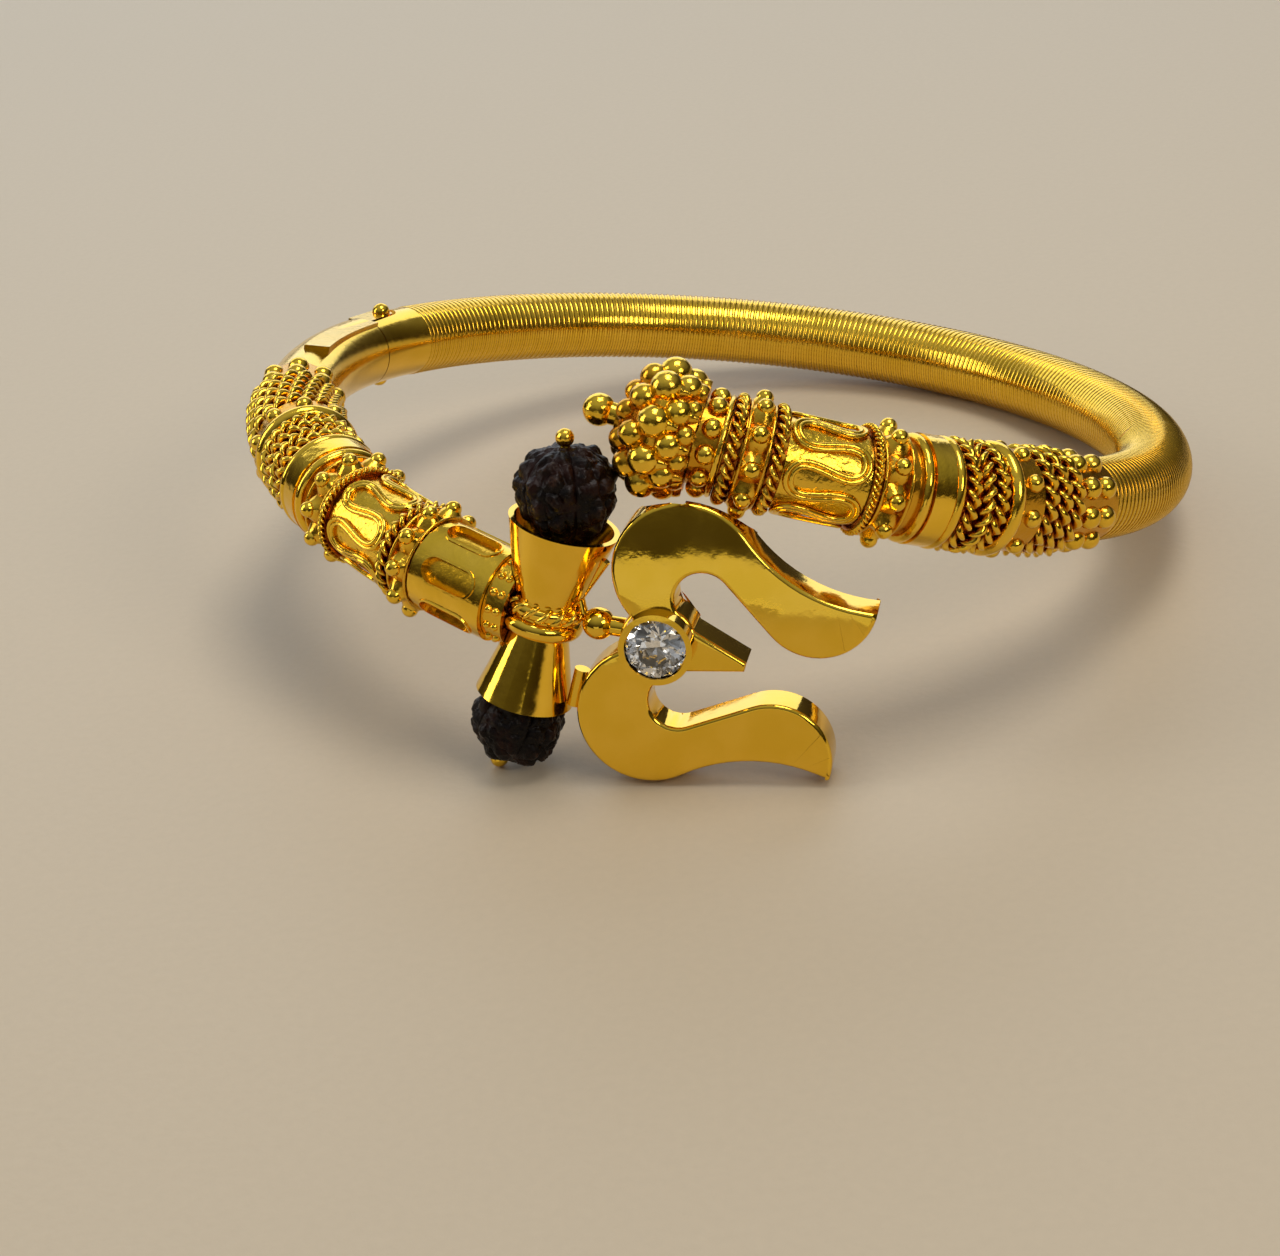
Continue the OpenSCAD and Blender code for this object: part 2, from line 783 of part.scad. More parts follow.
module damru() {
    color(GOLD)
        difference() {
            at(LEFT, damru_station) {
                rotate_extrude()
                    cup_outline(damru_top, top_mouth_r, top_neck_r);
                rotate([180, 0, 0])
                    rotate_extrude()
                        cup_outline(damru_bottom, bottom_mouth_r, bottom_neck_r);
                rotate_extrude()
                    union() {
                        translate([waist_r - waist_ring_r, waist_ring_r])
                            circle(r = waist_rope_r);
                        translate([waist_r - waist_ring_r, 0.02 - waist_ring_r])
                            circle(r = waist_ring_r);
                        translate([0, -waist_ring_r])
                            square([waist_r - waist_ring_r, 2 * waist_ring_r]);
                    }
                strut(0);
            }
            bead_pin_room();
        }
}

// A rudraksha: a round bead with five deep lobes and rough ridges, drilled from pole to pole
function bead_bump(a, b) = pow(sin(b), 0.6) * sqrt(abs(cos(2.5 * a)))
    * (0.6 + 0.4 * cos(6 * b + 60 * sin(5 * a)) * cos(10 * a));
function bead_radius(r, a, b) = r * (1 - bead_groove * (1 - bead_bump(a, b)));

module rudraksha(r) {
    around = 40;
    stacks = 14;
    hole = bead_pin_r + fit_gap;
    pole = asin(hole / r / (1 - bead_groove));
    rings = [for (i = [0 : stacks]) pole + (180 - 2 * pole) * i / stacks];
    points = [for (a = [0 : around - 1])
        for (b = rings)
            let (rr = b == rings[0] || b == rings[stacks] ? hole / sin(pole)
                : bead_radius(r, a * 360 / around, b))
            [rr * sin(b) * cos(a * 360 / around), rr * sin(b) * sin(a * 360 / around), rr * cos(b)]];
    n = stacks + 1;
    polyhedron(points = points, faces = concat(
        [for (a = [0 : around - 1]) for (i = [0 : stacks - 1])
            [a * n + i, ((a + 1) % around) * n + i, ((a + 1) % around) * n + i + 1, a * n + i + 1]],
        [for (a = [0 : around - 1])
            [a * n + stacks, ((a + 1) % around) * n + stacks, ((a + 1) % around) * n, a * n]]));
}

module top_rudraksha() {
    color(BEAD)
        bead_frame(top_bead_z, top_bead_lean)
            rudraksha(top_bead_r);
}

module bottom_rudraksha() {
    color(BEAD)
        bead_frame(bottom_bead_z, bottom_bead_lean)
            rudraksha(bottom_bead_r);
}

// Distance of a pin's ball from the bead's middle
function pin_head(r) = r * (1 - bead_groove) + 0.9 * pin_ball_r;

module bead_pin(r, z, lean) {
    root = pin_root(z, lean);
    translate([0, 0, pin_head(r)])
        sphere(r = pin_ball_r);
    translate([0, 0, -root])
        cylinder(r = bead_pin_r, h = root + pin_head(r));
}

module top_bead_pin() {
    color(GOLD)
        bead_frame(top_bead_z, top_bead_lean)
            bead_pin(top_bead_r, top_bead_z, top_bead_lean);
}

module bottom_bead_pin() {
    color(GOLD)
        bead_frame(bottom_bead_z, bottom_bead_lean)
            bead_pin(bottom_bead_r, bottom_bead_z, bottom_bead_lean);
}

// Trident outline, in the plane of its plate: u along the prongs from the stone, v up
function arc(c, r, a0, a1, n) = [for (k = [0 : n]) let (a = a0 + (a1 - a0) * k / n)
    c + r * [cos(a), sin(a)]];

bow_c = [0.52, bow_rise];
valley_u = prong_reach - 2.2;
valley_v = bow_rise + 0.77;
flare_r = (pow(valley_u - bow_c.x, 2) + pow(valley_v - bow_c.y, 2) - pow(bow_r, 2))
    / (2 * (bow_r - (valley_v - bow_c.y)));
flare_c = [valley_u, valley_v + flare_r];
flare_a = atan2(flare_c.y - bow_c.y, flare_c.x - bow_c.x);
belly_r = 4.15;
belly_c = [prong_reach - belly_r + 0.05, bow_rise + 0.65];
hole_c = [2.2, 3.9];
// The straight stretch that joins the hole's circle to the belly of the prong
hole_to_belly = belly_c - hole_c;
tangent_a = atan2(hole_to_belly.y, hole_to_belly.x)
    + acos((bow_hole_r + belly_r) / norm(hole_to_belly));

module side_prong() {
    polygon(concat(
        arc(bow_c, bow_r, 240, flare_a, 26),
        arc(flare_c, flare_r, flare_a + 180, 270 + asin((prong_reach - valley_u) / flare_r), 12),
        arc(belly_c, belly_r, 4, tangent_a - 180, 20),
        arc(hole_c, bow_hole_r, tangent_a, 236, 18)));
}

module trident_outline() {
    union() {
        side_prong();
        mirror([0, 1])
            side_prong();
        circle(r = bezel_r + bezel_foot);
        polygon([[1.2, 1.85], [middle_reach, 0.36], [middle_reach, -0.36], [1.2, -1.85]]);
    }
}

// Frame of the trident: x out of the plate's face, y along the prongs, z across them
module trident_frame() {
    at(LEFT, trident_station)
        translate([0, 0, trident_lift])
            children();
}

// Turns a drawing in u and v, and a height over the plate, into the trident's frame
module on_plate(x) {
    translate([x, 0, 0])
        rotate([90, 0, 90])
            children();
}

face_x = trident_t / 2;
ledge_r = stone_r - 0.3;
girdle_x = face_x + bezel_h - 0.35;
seat_depth = 0.32;
stone_depth = 0.8 * stone_r;
gap_to_damru = 0.05;
link_neck_r = 0.7;
tab_r = 0.55;
tab_len = 2.8;
bezel_foot = 0.15;

// A straight rod between two points of one frame
module rod(from, to, r) {
    d = to - from;
    translate(from)
        rotate([0, acos(d.z / norm(d)), atan2(d.y, d.x)])
            cylinder(r = r, h = norm(d));
}

module trident() {
    link = [0, damru_station + waist_r + link_ball_r - trident_station, -0.4];
    color(GOLD)
        difference() {
            trident_frame() {
                on_plate(-face_x)
                    linear_extrude(height = trident_t)
                        trident_outline();
                on_plate(face_x - 0.1)
                    cylinder(r = bezel_r, h = bezel_h + 0.1);
                translate(link)
                    sphere(r = link_ball_r);
                rod(link, [0, -bezel_r / 2, 0], link_neck_r);
                translate([0, bow_c.x - bow_r - tab_r / 2, -bow_rise - tab_len / 2])
                    cylinder(r = tab_r, h = tab_len);
            }
            trident_frame()
                on_plate(girdle_x - seat_depth) {
                    cylinder(r = stone_r + fit_gap, h = bezel_h);
                    translate([0, 0, -stone_depth])
                        cylinder(r = ledge_r, h = 2 * stone_depth);
                }
            damru_room(gap_to_damru);
            at(LEFT, damru_station)
                strut(gap_to_damru);
            arm_sweep(RIGHT, slot_start(RIGHT, STUD_B) - overlap, slot_start(RIGHT, CAP))
                circle(r = stud_tip + cap_gap);
            arm_sweep(RIGHT, slot_start(RIGHT, CAP) - overlap, slot_start(RIGHT, CAP) + cap_len)
                circle(r = cap_tip + cap_gap);
        }
}

// The drum with a small gap round it, filled in
module damru_room(gap) {
    at(LEFT, damru_station)
        rotate_extrude()
            polygon([
                [0, damru_top + gap],
                [top_mouth_r + gap, damru_top + gap],
                [top_neck_r + gap, neck_half],
                [waist_r + gap, neck_half],
                [waist_r + gap, -neck_half],
                [bottom_neck_r + gap, -neck_half],
                [bottom_mouth_r + gap, -damru_bottom - gap],
                [0, -damru_bottom - gap]]);
}

// A round brilliant with its girdle at z = 0: a table, eight star facets, eight mains and sixteen
// girdle facets above, and eight mains and sixteen girdle facets below
function ring8(radius, z, phase) = [for (k = [0 : 7])
    [radius * cos(45 * (k + phase)), radius * sin(45 * (k + phase)), z]];
function ring16(radius, z) = [for (k = [0 : 15])
    [radius * cos(22.5 * k), radius * sin(22.5 * k), z]];

module brilliant(r) {
    crown = 0.3 * r;
    girdle = 0.05 * r;
    pavilion = stone_depth;
    table_r = 0.56 * r;
    star_r = 0.8 * r;
    keel_r = 0.36 * r;
    star_z = girdle + crown * (r - star_r * cos(22.5)) / (r - table_r);
    keel_z = -pavilion * (1 - keel_r * cos(22.5) / r);
    table = 0;
    star = 8;
    top = 16;
    low = 32;
    keel = 48;
    culet = 56;
    polyhedron(
        points = concat(ring8(table_r, girdle + crown, 0), ring8(star_r, star_z, 0.5),
            ring16(r, girdle), ring16(r, 0), ring8(keel_r, keel_z, 0.5), [[0, 0, -pavilion]]),
        faces = concat(
            [[for (k = [7 : -1 : 0]) table + k]],
            [for (k = [0 : 7]) [table + k, table + (k + 1) % 8, star + k]],
            [for (k = [0 : 7]) [table + k, star + k, top + 2 * k, star + (k + 7) % 8]],
            [for (k = [0 : 7]) [star + k, top + 2 * k + 1, top + 2 * k]],
            [for (k = [0 : 7]) [star + k, top + (2 * k + 2) % 16, top + 2 * k + 1]],
            [for (k = [0 : 15]) [top + k, top + (k + 1) % 16, low + (k + 1) % 16, low + k]],
            [for (k = [0 : 7]) [keel + k, low + 2 * k, low + 2 * k + 1]],
            [for (k = [0 : 7]) [keel + k, low + 2 * k + 1, low + (2 * k + 2) % 16]],
            [for (k = [0 : 7]) [culet, keel + (k + 7) % 8, low + 2 * k, keel + k]]));
}

module stone() {
    color(STONE)
        trident_frame()
            on_plate(girdle_x)
                brilliant(stone_r);
}

// Rest on a floor: the back of the tube, the lower bow of the trident and the lower pin's ball touch
tri_c = placed(LEFT, trident_station,
    [-face_x, bow_c.x, trident_lift - bow_rise]);
tri_u = placed(LEFT, trident_station, [0, 1, 0], 0);
tri_v = placed(LEFT, trident_station, [0, 0, 1], 0);
ball_reach = pin_head(bottom_bead_r);
ball_c = placed(LEFT, damru_station, [0, -ball_reach * sin(bottom_bead_lean),
    bottom_bead_z - ball_reach * cos(bottom_bead_lean)]);

function floor_normal(az, tilt) = [-sin(tilt) * cos(az), -sin(tilt) * sin(az), cos(tilt)];
function tube_low(n) = -ring_r * norm([n.x, n.y]) - tube_r;
function trident_low(n) = n * tri_c - bow_r * norm([n * tri_u, n * tri_v]);
function ball_low(n) = n * ball_c - pin_ball_r;
function solve_tilt(az, lo, hi, steps) =
    let (mid = (lo + hi) / 2, n = floor_normal(az, mid))
    steps == 0 ? mid
        : trident_low(n) < tube_low(n) ? solve_tilt(az, mid, hi, steps - 1)
        : solve_tilt(az, lo, mid, steps - 1);
function solve_az(lo, hi, steps) =
    let (mid = (lo + hi) / 2, n = floor_normal(mid, solve_tilt(mid, 0, 30, 24)))
    steps == 0 ? mid
        : ball_low(n) < tube_low(n) ? solve_az(lo, mid, steps - 1)
        : solve_az(mid, hi, steps - 1);
rest_az = solve_az(10, 110, 24);
rest_tilt = solve_tilt(rest_az, 0, 30, 24);
rest_height = -tube_low(floor_normal(rest_az, rest_tilt));
// Middle of the bangle's outline seen from above
middle = [-0.474, -2.075];

module laid_down() {
    translate([-middle.x, -middle.y, rest_height])
        rotate(a = rest_tilt, v = [-sin(rest_az), cos(rest_az), 0])
            children();
}

module double_granule_collar(arm) {
    ornament(arm, DOUBLE_GRANULE)
        granule_collar(double_granule_len, 2, granule_count, double_granule_tip);
}

module rope_band(arm, i, rows) {
    ornament(arm, i)
        rope_rows(slot_len(arm, i), rows, rope_tip);
}

module single_granule_collar(arm) {
    ornament(arm, GRANULE)
        granule_collar(granule_len, 1, granule_count, granule_tip);
}

module plain_ring(arm) {
    ornament(arm, PLAIN)
        half_round_ring(plain_len, plain_tip);
}

module rings(arm) {
    ornament(arm, RING_SET)
        ring_set(ring_set_len, ring_set_tip);
}

module studs(arm, i) {
    ornament(arm, i)
        stud_collar(slot_len(arm, i), stud_count, stud_tip);
}

module rope_ring(arm, i) {
    ornament(arm, i)
        rope_rows(slot_len(arm, i), 1, rope_ring_tip);
}

module wave_barrel(arm) {
    ornament(arm, WAVE)
        wave_barrel_body(wave_len);
}

module pointed_petal_ring() {
    ornament(RIGHT, PETAL)
        petal_ring(petal_len, petal_count, petal_tip);
}

module slotted_barrel() {
    ornament(LEFT, SLOTTED)
        slotted_barrel_body(slotted_len);
}

module small_granule_collar() {
    difference() {
        ornament(LEFT, SMALL_GRANULE)
            granule_collar(small_granule_len, 2, small_granule_count, small_granule_tip);
        damru_room(gap_to_damru);
    }
}

laid_down() wound_tube();
laid_down() double_granule_collar(RIGHT);  // right_double_granule_collar
laid_down() rope_band(RIGHT, ROPE_A, right_rope_rows);  // right_rope_band_a
laid_down() single_granule_collar(RIGHT);  // right_granule_collar
laid_down() plain_ring(RIGHT);  // right_plain_ring
laid_down() rope_band(RIGHT, ROPE_B, right_rope_rows);  // right_rope_band_b
laid_down() rings(RIGHT);  // right_ring_set
laid_down() studs(RIGHT, STUD_A);  // right_stud_collar_a
laid_down() rope_ring(RIGHT, ROPE_RING_A);  // right_rope_ring_a
laid_down() wave_barrel(RIGHT);  // right_wave_barrel
laid_down() wave_wire(RIGHT, right_wave_phase);  // right_wave_wire
laid_down() rope_ring(RIGHT, ROPE_RING_B);  // right_rope_ring_b
laid_down() studs(RIGHT, STUD_B);  // right_stud_collar_b
laid_down() rope_ring(RIGHT, ROPE_RING_C);  // right_rope_ring_c
laid_down() pointed_petal_ring();  // right_petal_ring
laid_down() berry_cap();
laid_down() ball_finial();
laid_down() hinge_sleeve();
laid_down() hinge_pin();
laid_down() double_granule_collar(LEFT);  // left_double_granule_collar
laid_down() rope_band(LEFT, ROPE_A, left_rope_rows_a);  // left_rope_band_a
laid_down() single_granule_collar(LEFT);  // left_granule_collar
laid_down() plain_ring(LEFT);  // left_plain_ring
laid_down() rope_band(LEFT, ROPE_B, left_rope_rows_b);  // left_rope_band_b
laid_down() rings(LEFT);  // left_ring_set
laid_down() studs(LEFT, STUD_A);  // left_stud_collar_a
laid_down() rope_ring(LEFT, ROPE_RING_A);  // left_rope_ring_a
laid_down() wave_barrel(LEFT);  // left_wave_barrel
laid_down() wave_wire(LEFT, left_wave_phase);  // left_wave_wire
laid_down() rope_ring(LEFT, ROPE_RING_B);  // left_rope_ring_b
laid_down() studs(LEFT, STUD_B);  // left_stud_collar_b
laid_down() slotted_barrel();
laid_down() small_granule_collar();
laid_down() damru();
laid_down() top_rudraksha();
laid_down() bottom_rudraksha();
laid_down() top_bead_pin();
laid_down() bottom_bead_pin();
laid_down() trident();
laid_down() stone();
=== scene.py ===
"""Kada bangle in wound and granulated gold, with a damru, rudraksha beads and a trident."""
import logging
import math
from dataclasses import dataclass, field
from enum import Enum, IntEnum
from typing import Callable, Iterable, Optional, Sequence

import bpy
import numpy as np
from mathutils import Matrix, Vector, noise


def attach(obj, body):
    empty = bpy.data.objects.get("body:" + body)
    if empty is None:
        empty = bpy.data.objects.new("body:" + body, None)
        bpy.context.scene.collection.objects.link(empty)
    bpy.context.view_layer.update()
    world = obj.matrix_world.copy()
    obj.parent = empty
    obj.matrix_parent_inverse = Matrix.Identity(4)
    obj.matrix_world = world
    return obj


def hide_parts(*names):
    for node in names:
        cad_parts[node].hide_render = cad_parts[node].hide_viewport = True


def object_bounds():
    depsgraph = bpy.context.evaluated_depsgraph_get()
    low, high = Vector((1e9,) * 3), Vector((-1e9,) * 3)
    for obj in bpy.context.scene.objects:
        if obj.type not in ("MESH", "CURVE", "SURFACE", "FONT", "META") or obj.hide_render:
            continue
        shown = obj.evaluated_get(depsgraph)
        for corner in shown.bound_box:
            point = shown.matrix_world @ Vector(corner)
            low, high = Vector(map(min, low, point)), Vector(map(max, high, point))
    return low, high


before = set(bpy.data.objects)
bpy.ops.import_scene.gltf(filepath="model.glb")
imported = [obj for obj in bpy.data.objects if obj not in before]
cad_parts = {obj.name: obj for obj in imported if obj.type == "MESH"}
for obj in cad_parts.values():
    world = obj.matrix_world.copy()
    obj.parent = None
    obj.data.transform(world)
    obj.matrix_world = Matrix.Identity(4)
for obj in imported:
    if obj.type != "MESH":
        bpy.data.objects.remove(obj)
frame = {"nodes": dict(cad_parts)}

CAD_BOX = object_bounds()
# One millimetre in metres
MM = 0.001
LOG = logging.getLogger("kada")
# The type of a colour, a place or a direction
Triple = tuple[float, float, float]


class Body(Enum):
    """The bodies of the bangle that move as one."""

    KADA = "kada"
    SWING_ARM = "swing_arm"


class Slot(Enum):
    """Names of two material slots, gold and bead, which nothing here uses."""

    GOLD = "gold"
    BEAD = "bead"


class Seat(IntEnum):
    """The places of the ornaments that are remade here, counted from the tube along an arm."""

    ROPE_BAND_A = 1
    ROPE_BAND_B = 4
    ROPE_RING_A = 7
    BARREL = 8
    ROPE_RING_B = 9
    ROPE_RING_C = 11


# The bangle's lines


def turn(degrees: float, axis: str) -> Matrix:
    """Return a turn about an axis by an angle in degrees."""
    return Matrix.Rotation(math.radians(degrees), 4, axis)


def shift(x: float, y: float = 0.0, z: float = 0.0) -> Matrix:
    """Return a shift as a matrix."""
    return Matrix.Translation((x, y, z))


@dataclass(frozen=True)
class Ring:
    """The ring of the bangle and the way it lies on the floor, in millimetres and degrees.

    The two ends are the angles at which the arms leave the ring. At rest the ring leans about
    a level line at the azimuth, with its centre at the rest height. The bangle's box has its
    middle beside that centre.
    """

    radius: float = 34.75
    tube: float = 3.0
    left_end: float = 154.4
    right_end: float = -6.0
    rest_azimuth: float = 44.8827
    rest_tilt: float = 13.1713
    rest_height: float = 10.9183
    middle: tuple[float, float] = (-0.474, -2.075)

    def to_floor(self) -> Matrix:
        """Work out the move from the ring's own plane to the floor.

        Returns:
            The move, in millimetres.
        """
        azimuth = math.radians(self.rest_azimuth)
        axis = Vector((-math.sin(azimuth), math.cos(azimuth), 0.0))
        lean = Matrix.Rotation(math.radians(self.rest_tilt), 4, axis)
        return shift(-self.middle[0], -self.middle[1], self.rest_height) @ lean


@dataclass(frozen=True)
class Arm:
    """One arm of the bangle: its circle, and the lengths of the ornaments on it.

    It leaves the ring at an angle, tilted out of the ring's plane, and runs on with its own
    radius, against or with the clock as its sense says. The ornaments start at a distance
    from where it leaves, and follow one another by their lengths.
    """

    ring: Ring
    leave: float
    tilt: float
    radius: float
    sense: int
    start: float
    lengths: tuple[float, ...]

    def circle(self) -> Matrix:
        """Return the frame of the arm's circle, with its axis along z."""
        return (self.ring.to_floor() @ turn(self.leave, "Z") @ shift(self.ring.radius)
                @ turn(self.tilt, "Y") @ shift(-self.radius))

    def at(self, station: float) -> Matrix:
        """Return the frame at a station: x away from the wrist, y along the arm, z up."""
        angle = self.sense * math.degrees(station / self.radius)
        return self.circle() @ turn(angle, "Z") @ shift(self.radius)

    def middle_of(self, seat: int) -> float:
        """Return the station at the middle of an ornament's seat."""
        return self.start + sum(self.lengths[:seat]) + self.lengths[seat] / 2

    def bent(self, points: np.ndarray, station: float) -> np.ndarray:
        """Bend points of a straight piece, whose z runs along the arm, onto the arm's circle.

        Args:
            points: Rows of x, y and z in millimetres.
            station: Distance along the arm of the straight piece's z = 0.

        Returns:
            The same rows, in millimetres over the floor.
        """
        angle = self.sense * (station + points[:, 2]) / self.radius
        flat = round_z(self.radius + points[:, 0], angle, -self.sense * points[:, 1])
        return moved(flat, self.circle())


def round_z(reach: np.ndarray | float, angle: np.ndarray, height: np.ndarray) -> np.ndarray:
    """Return points at a reach from z, an angle in radians round it and a height on it."""
    return np.stack([reach * np.cos(angle), reach * np.sin(angle), height], axis=1)


def unit(rows: np.ndarray) -> np.ndarray:
    """Return rows of directions at a length of 1."""
    return rows / np.linalg.norm(rows, axis=1)[:, None]


def moved(points: np.ndarray, matrix: Matrix) -> np.ndarray:
    """Return rows of points moved by a matrix."""
    m = np.array(matrix)
    return points @ m[:3, :3].T + m[:3, 3]


RING = Ring()
# Ring set, stud collar, rope ring, barrel, rope ring and stud collar, alike on both arms
SHARED_SEATS = (3.65, 2.25, 0.6, 5.65, 0.95, 1.9)
RIGHT = Arm(RING, leave=RING.right_end, tilt=10.8, radius=34.6, sense=-1, start=22.2,
            lengths=(4.3, 3.81, 1.7, 1.2, 3.36) + SHARED_SEATS + (0.95, 1.9, 5.4))
LEFT = Arm(RING, leave=RING.left_end, tilt=-10.1, radius=36.3, sense=1, start=17.4,
           lengths=(4.3, 6.35, 1.7, 1.2, 4.48) + SHARED_SEATS + (5.8, 1.5))


# Working with meshes


def put_down() -> None:
    """Leave edit mode and deselect everything."""
    if bpy.context.mode != "OBJECT":
        bpy.ops.object.mode_set(mode="OBJECT")
    bpy.ops.object.select_all(action="DESELECT")


def pick_up(piece: bpy.types.Object) -> None:
    """Select one piece alone and make it the active one.

    Args:
        piece: The object to select.
    """
    put_down()
    piece.select_set(True)
    bpy.context.view_layer.objects.active = piece


def in_scene(name: str, data: bpy.types.ID) -> bpy.types.Object:
    """Put a new object into the scene.

    Args:
        name: Name of the object.
        data: Its mesh, light or camera.

    Returns:
        The object.
    """
    piece = bpy.data.objects.new(name, data)
    bpy.context.scene.collection.objects.link(piece)
    return piece


def settle(piece: bpy.types.Object) -> None:
    """Put a piece's place, turn and scale into its mesh."""
    pick_up(piece)
    bpy.ops.object.transform_apply(location=True, rotation=True, scale=True)


def joined(pieces: Sequence[bpy.types.Object], name: str) -> bpy.types.Object:
    """Join pieces into one object.

    Args:
        pieces: The objects to join; the first one is kept.
        name: Name of the joined piece.

    Returns:
        The joined object.
    """
    put_down()
    for piece in pieces:
        piece.select_set(True)
    bpy.context.view_layer.objects.active = pieces[0]
    if len(pieces) > 1:
        bpy.ops.object.join()
    whole = bpy.context.view_layer.objects.active
    whole.name = whole.data.name = name
    return whole


def points_of(piece: bpy.types.Object) -> np.ndarray:
    """Read the points of a piece's mesh.

    Args:
        piece: The object to read.

    Returns:
        Rows of x, y and z in the mesh's own units.
    """
    rows = np.empty(len(piece.data.vertices) * 3, dtype=np.float64)
    piece.data.vertices.foreach_get("co", rows)
    return rows.reshape(-1, 3)


def put_points(piece: bpy.types.Object, rows: np.ndarray) -> None:
    """Move the points of a piece's mesh to new rows of x, y and z."""
    piece.data.vertices.foreach_set("co", rows.reshape(-1))
    piece.data.update()


def pick_parts(piece: bpy.types.Object, kind: str, wanted: Iterable[int] = ()) -> None:
    """Go into edit mode with some faces or edges of a piece selected.

    Args:
        piece: The object to edit.
        kind: FACE or EDGE.
        wanted: The numbers of the faces or edges.
    """
    pick_up(piece)
    bpy.ops.object.mode_set(mode="EDIT")
    bpy.ops.mesh.select_mode(type=kind)
    bpy.ops.mesh.select_all(action="DESELECT")
    bpy.ops.object.mode_set(mode="OBJECT")
    parts = piece.data.polygons if kind == "FACE" else piece.data.edges
    for number in wanted:
        parts[number].select = True
    bpy.ops.object.mode_set(mode="EDIT")


def closed_up(piece: bpy.types.Object, gap: float) -> None:
    """Merge points that meet, and turn all faces outwards.

    Args:
        piece: The object whose mesh changes.
        gap: Distance in metres within which points are merged.
    """
    pick_up(piece)
    bpy.ops.object.mode_set(mode="EDIT")
    bpy.ops.mesh.select_all(action="SELECT")
    bpy.ops.mesh.remove_doubles(threshold=gap)
    bpy.ops.mesh.normals_make_consistent(inside=False)
    put_down()


def smoothed(piece: bpy.types.Object, angle: float) -> None:
    """Shade a piece smooth, except over sharp edges.

    Args:
        piece: The object to shade.
        angle: Angle in degrees past which an edge stays sharp.
    """
    pick_up(piece)
    bpy.ops.object.shade_smooth_by_angle(angle=math.radians(angle))
    put_down()


def keep_heights(piece: bpy.types.Object, name: str, heights: np.ndarray) -> None:
    """Keep a height for each point of a piece's mesh, which its finish reads by name."""
    kept = piece.data.attributes.new(name, "FLOAT", "POINT")
    kept.data.foreach_set("value", heights)


def apply_all(piece: bpy.types.Object) -> None:
    """Apply all modifiers of a piece.

    Args:
        piece: The object whose mesh takes them up.
    """
    pick_up(piece)
    for modifier in list(piece.modifiers):
        bpy.ops.object.modifier_apply(modifier=modifier.name)


@dataclass(frozen=True)
class Strand:
    """A wire's section and the way it is twisted along z, in millimetres.

    The wire's radius comes first, then the radius on which it is laid, the sides of its
    section and the steps in each turn.
    """

    wire: float
    lay: float
    sides: int
    steps: int

    def twisted(self, name: str, length: float, turns: float, plies: int,
                upright: bool = False) -> bpy.types.Object:
        """Twist plies of wire about z.

        Args:
            name: Name of the piece.
            length: Length of the twist in millimetres.
            turns: Number of whole turns over that length.
            plies: Number of wires beside one another.
            upright: True where the section stands along z, for a close winding.

        Returns:
            The open-ended twist, in millimetres, from z = 0 to its length.
        """
        ends = []
        for ply in range(plies):
            angle = 2 * math.pi * ply / plies
            put_down()
            bpy.ops.mesh.primitive_circle_add(
                vertices=self.sides, radius=self.wire,
                location=(self.lay * math.cos(angle), self.lay * math.sin(angle), 0.0),
                rotation=(math.pi / 2 if upright else 0.0, 0.0, 0.0))
            settle(bpy.context.active_object)
            ends.append(bpy.context.active_object)
        twist = joined(ends, name)
        screw = twist.modifiers.new("twist", "SCREW")
        screw.axis = "Z"
        screw.angle = 2 * math.pi
        screw.iterations = round(turns)
        screw.screw_offset = length / round(turns)
        screw.steps = screw.render_steps = self.steps
        screw.use_merge_vertices = False
        apply_all(twist)
        return twist


# Finishes


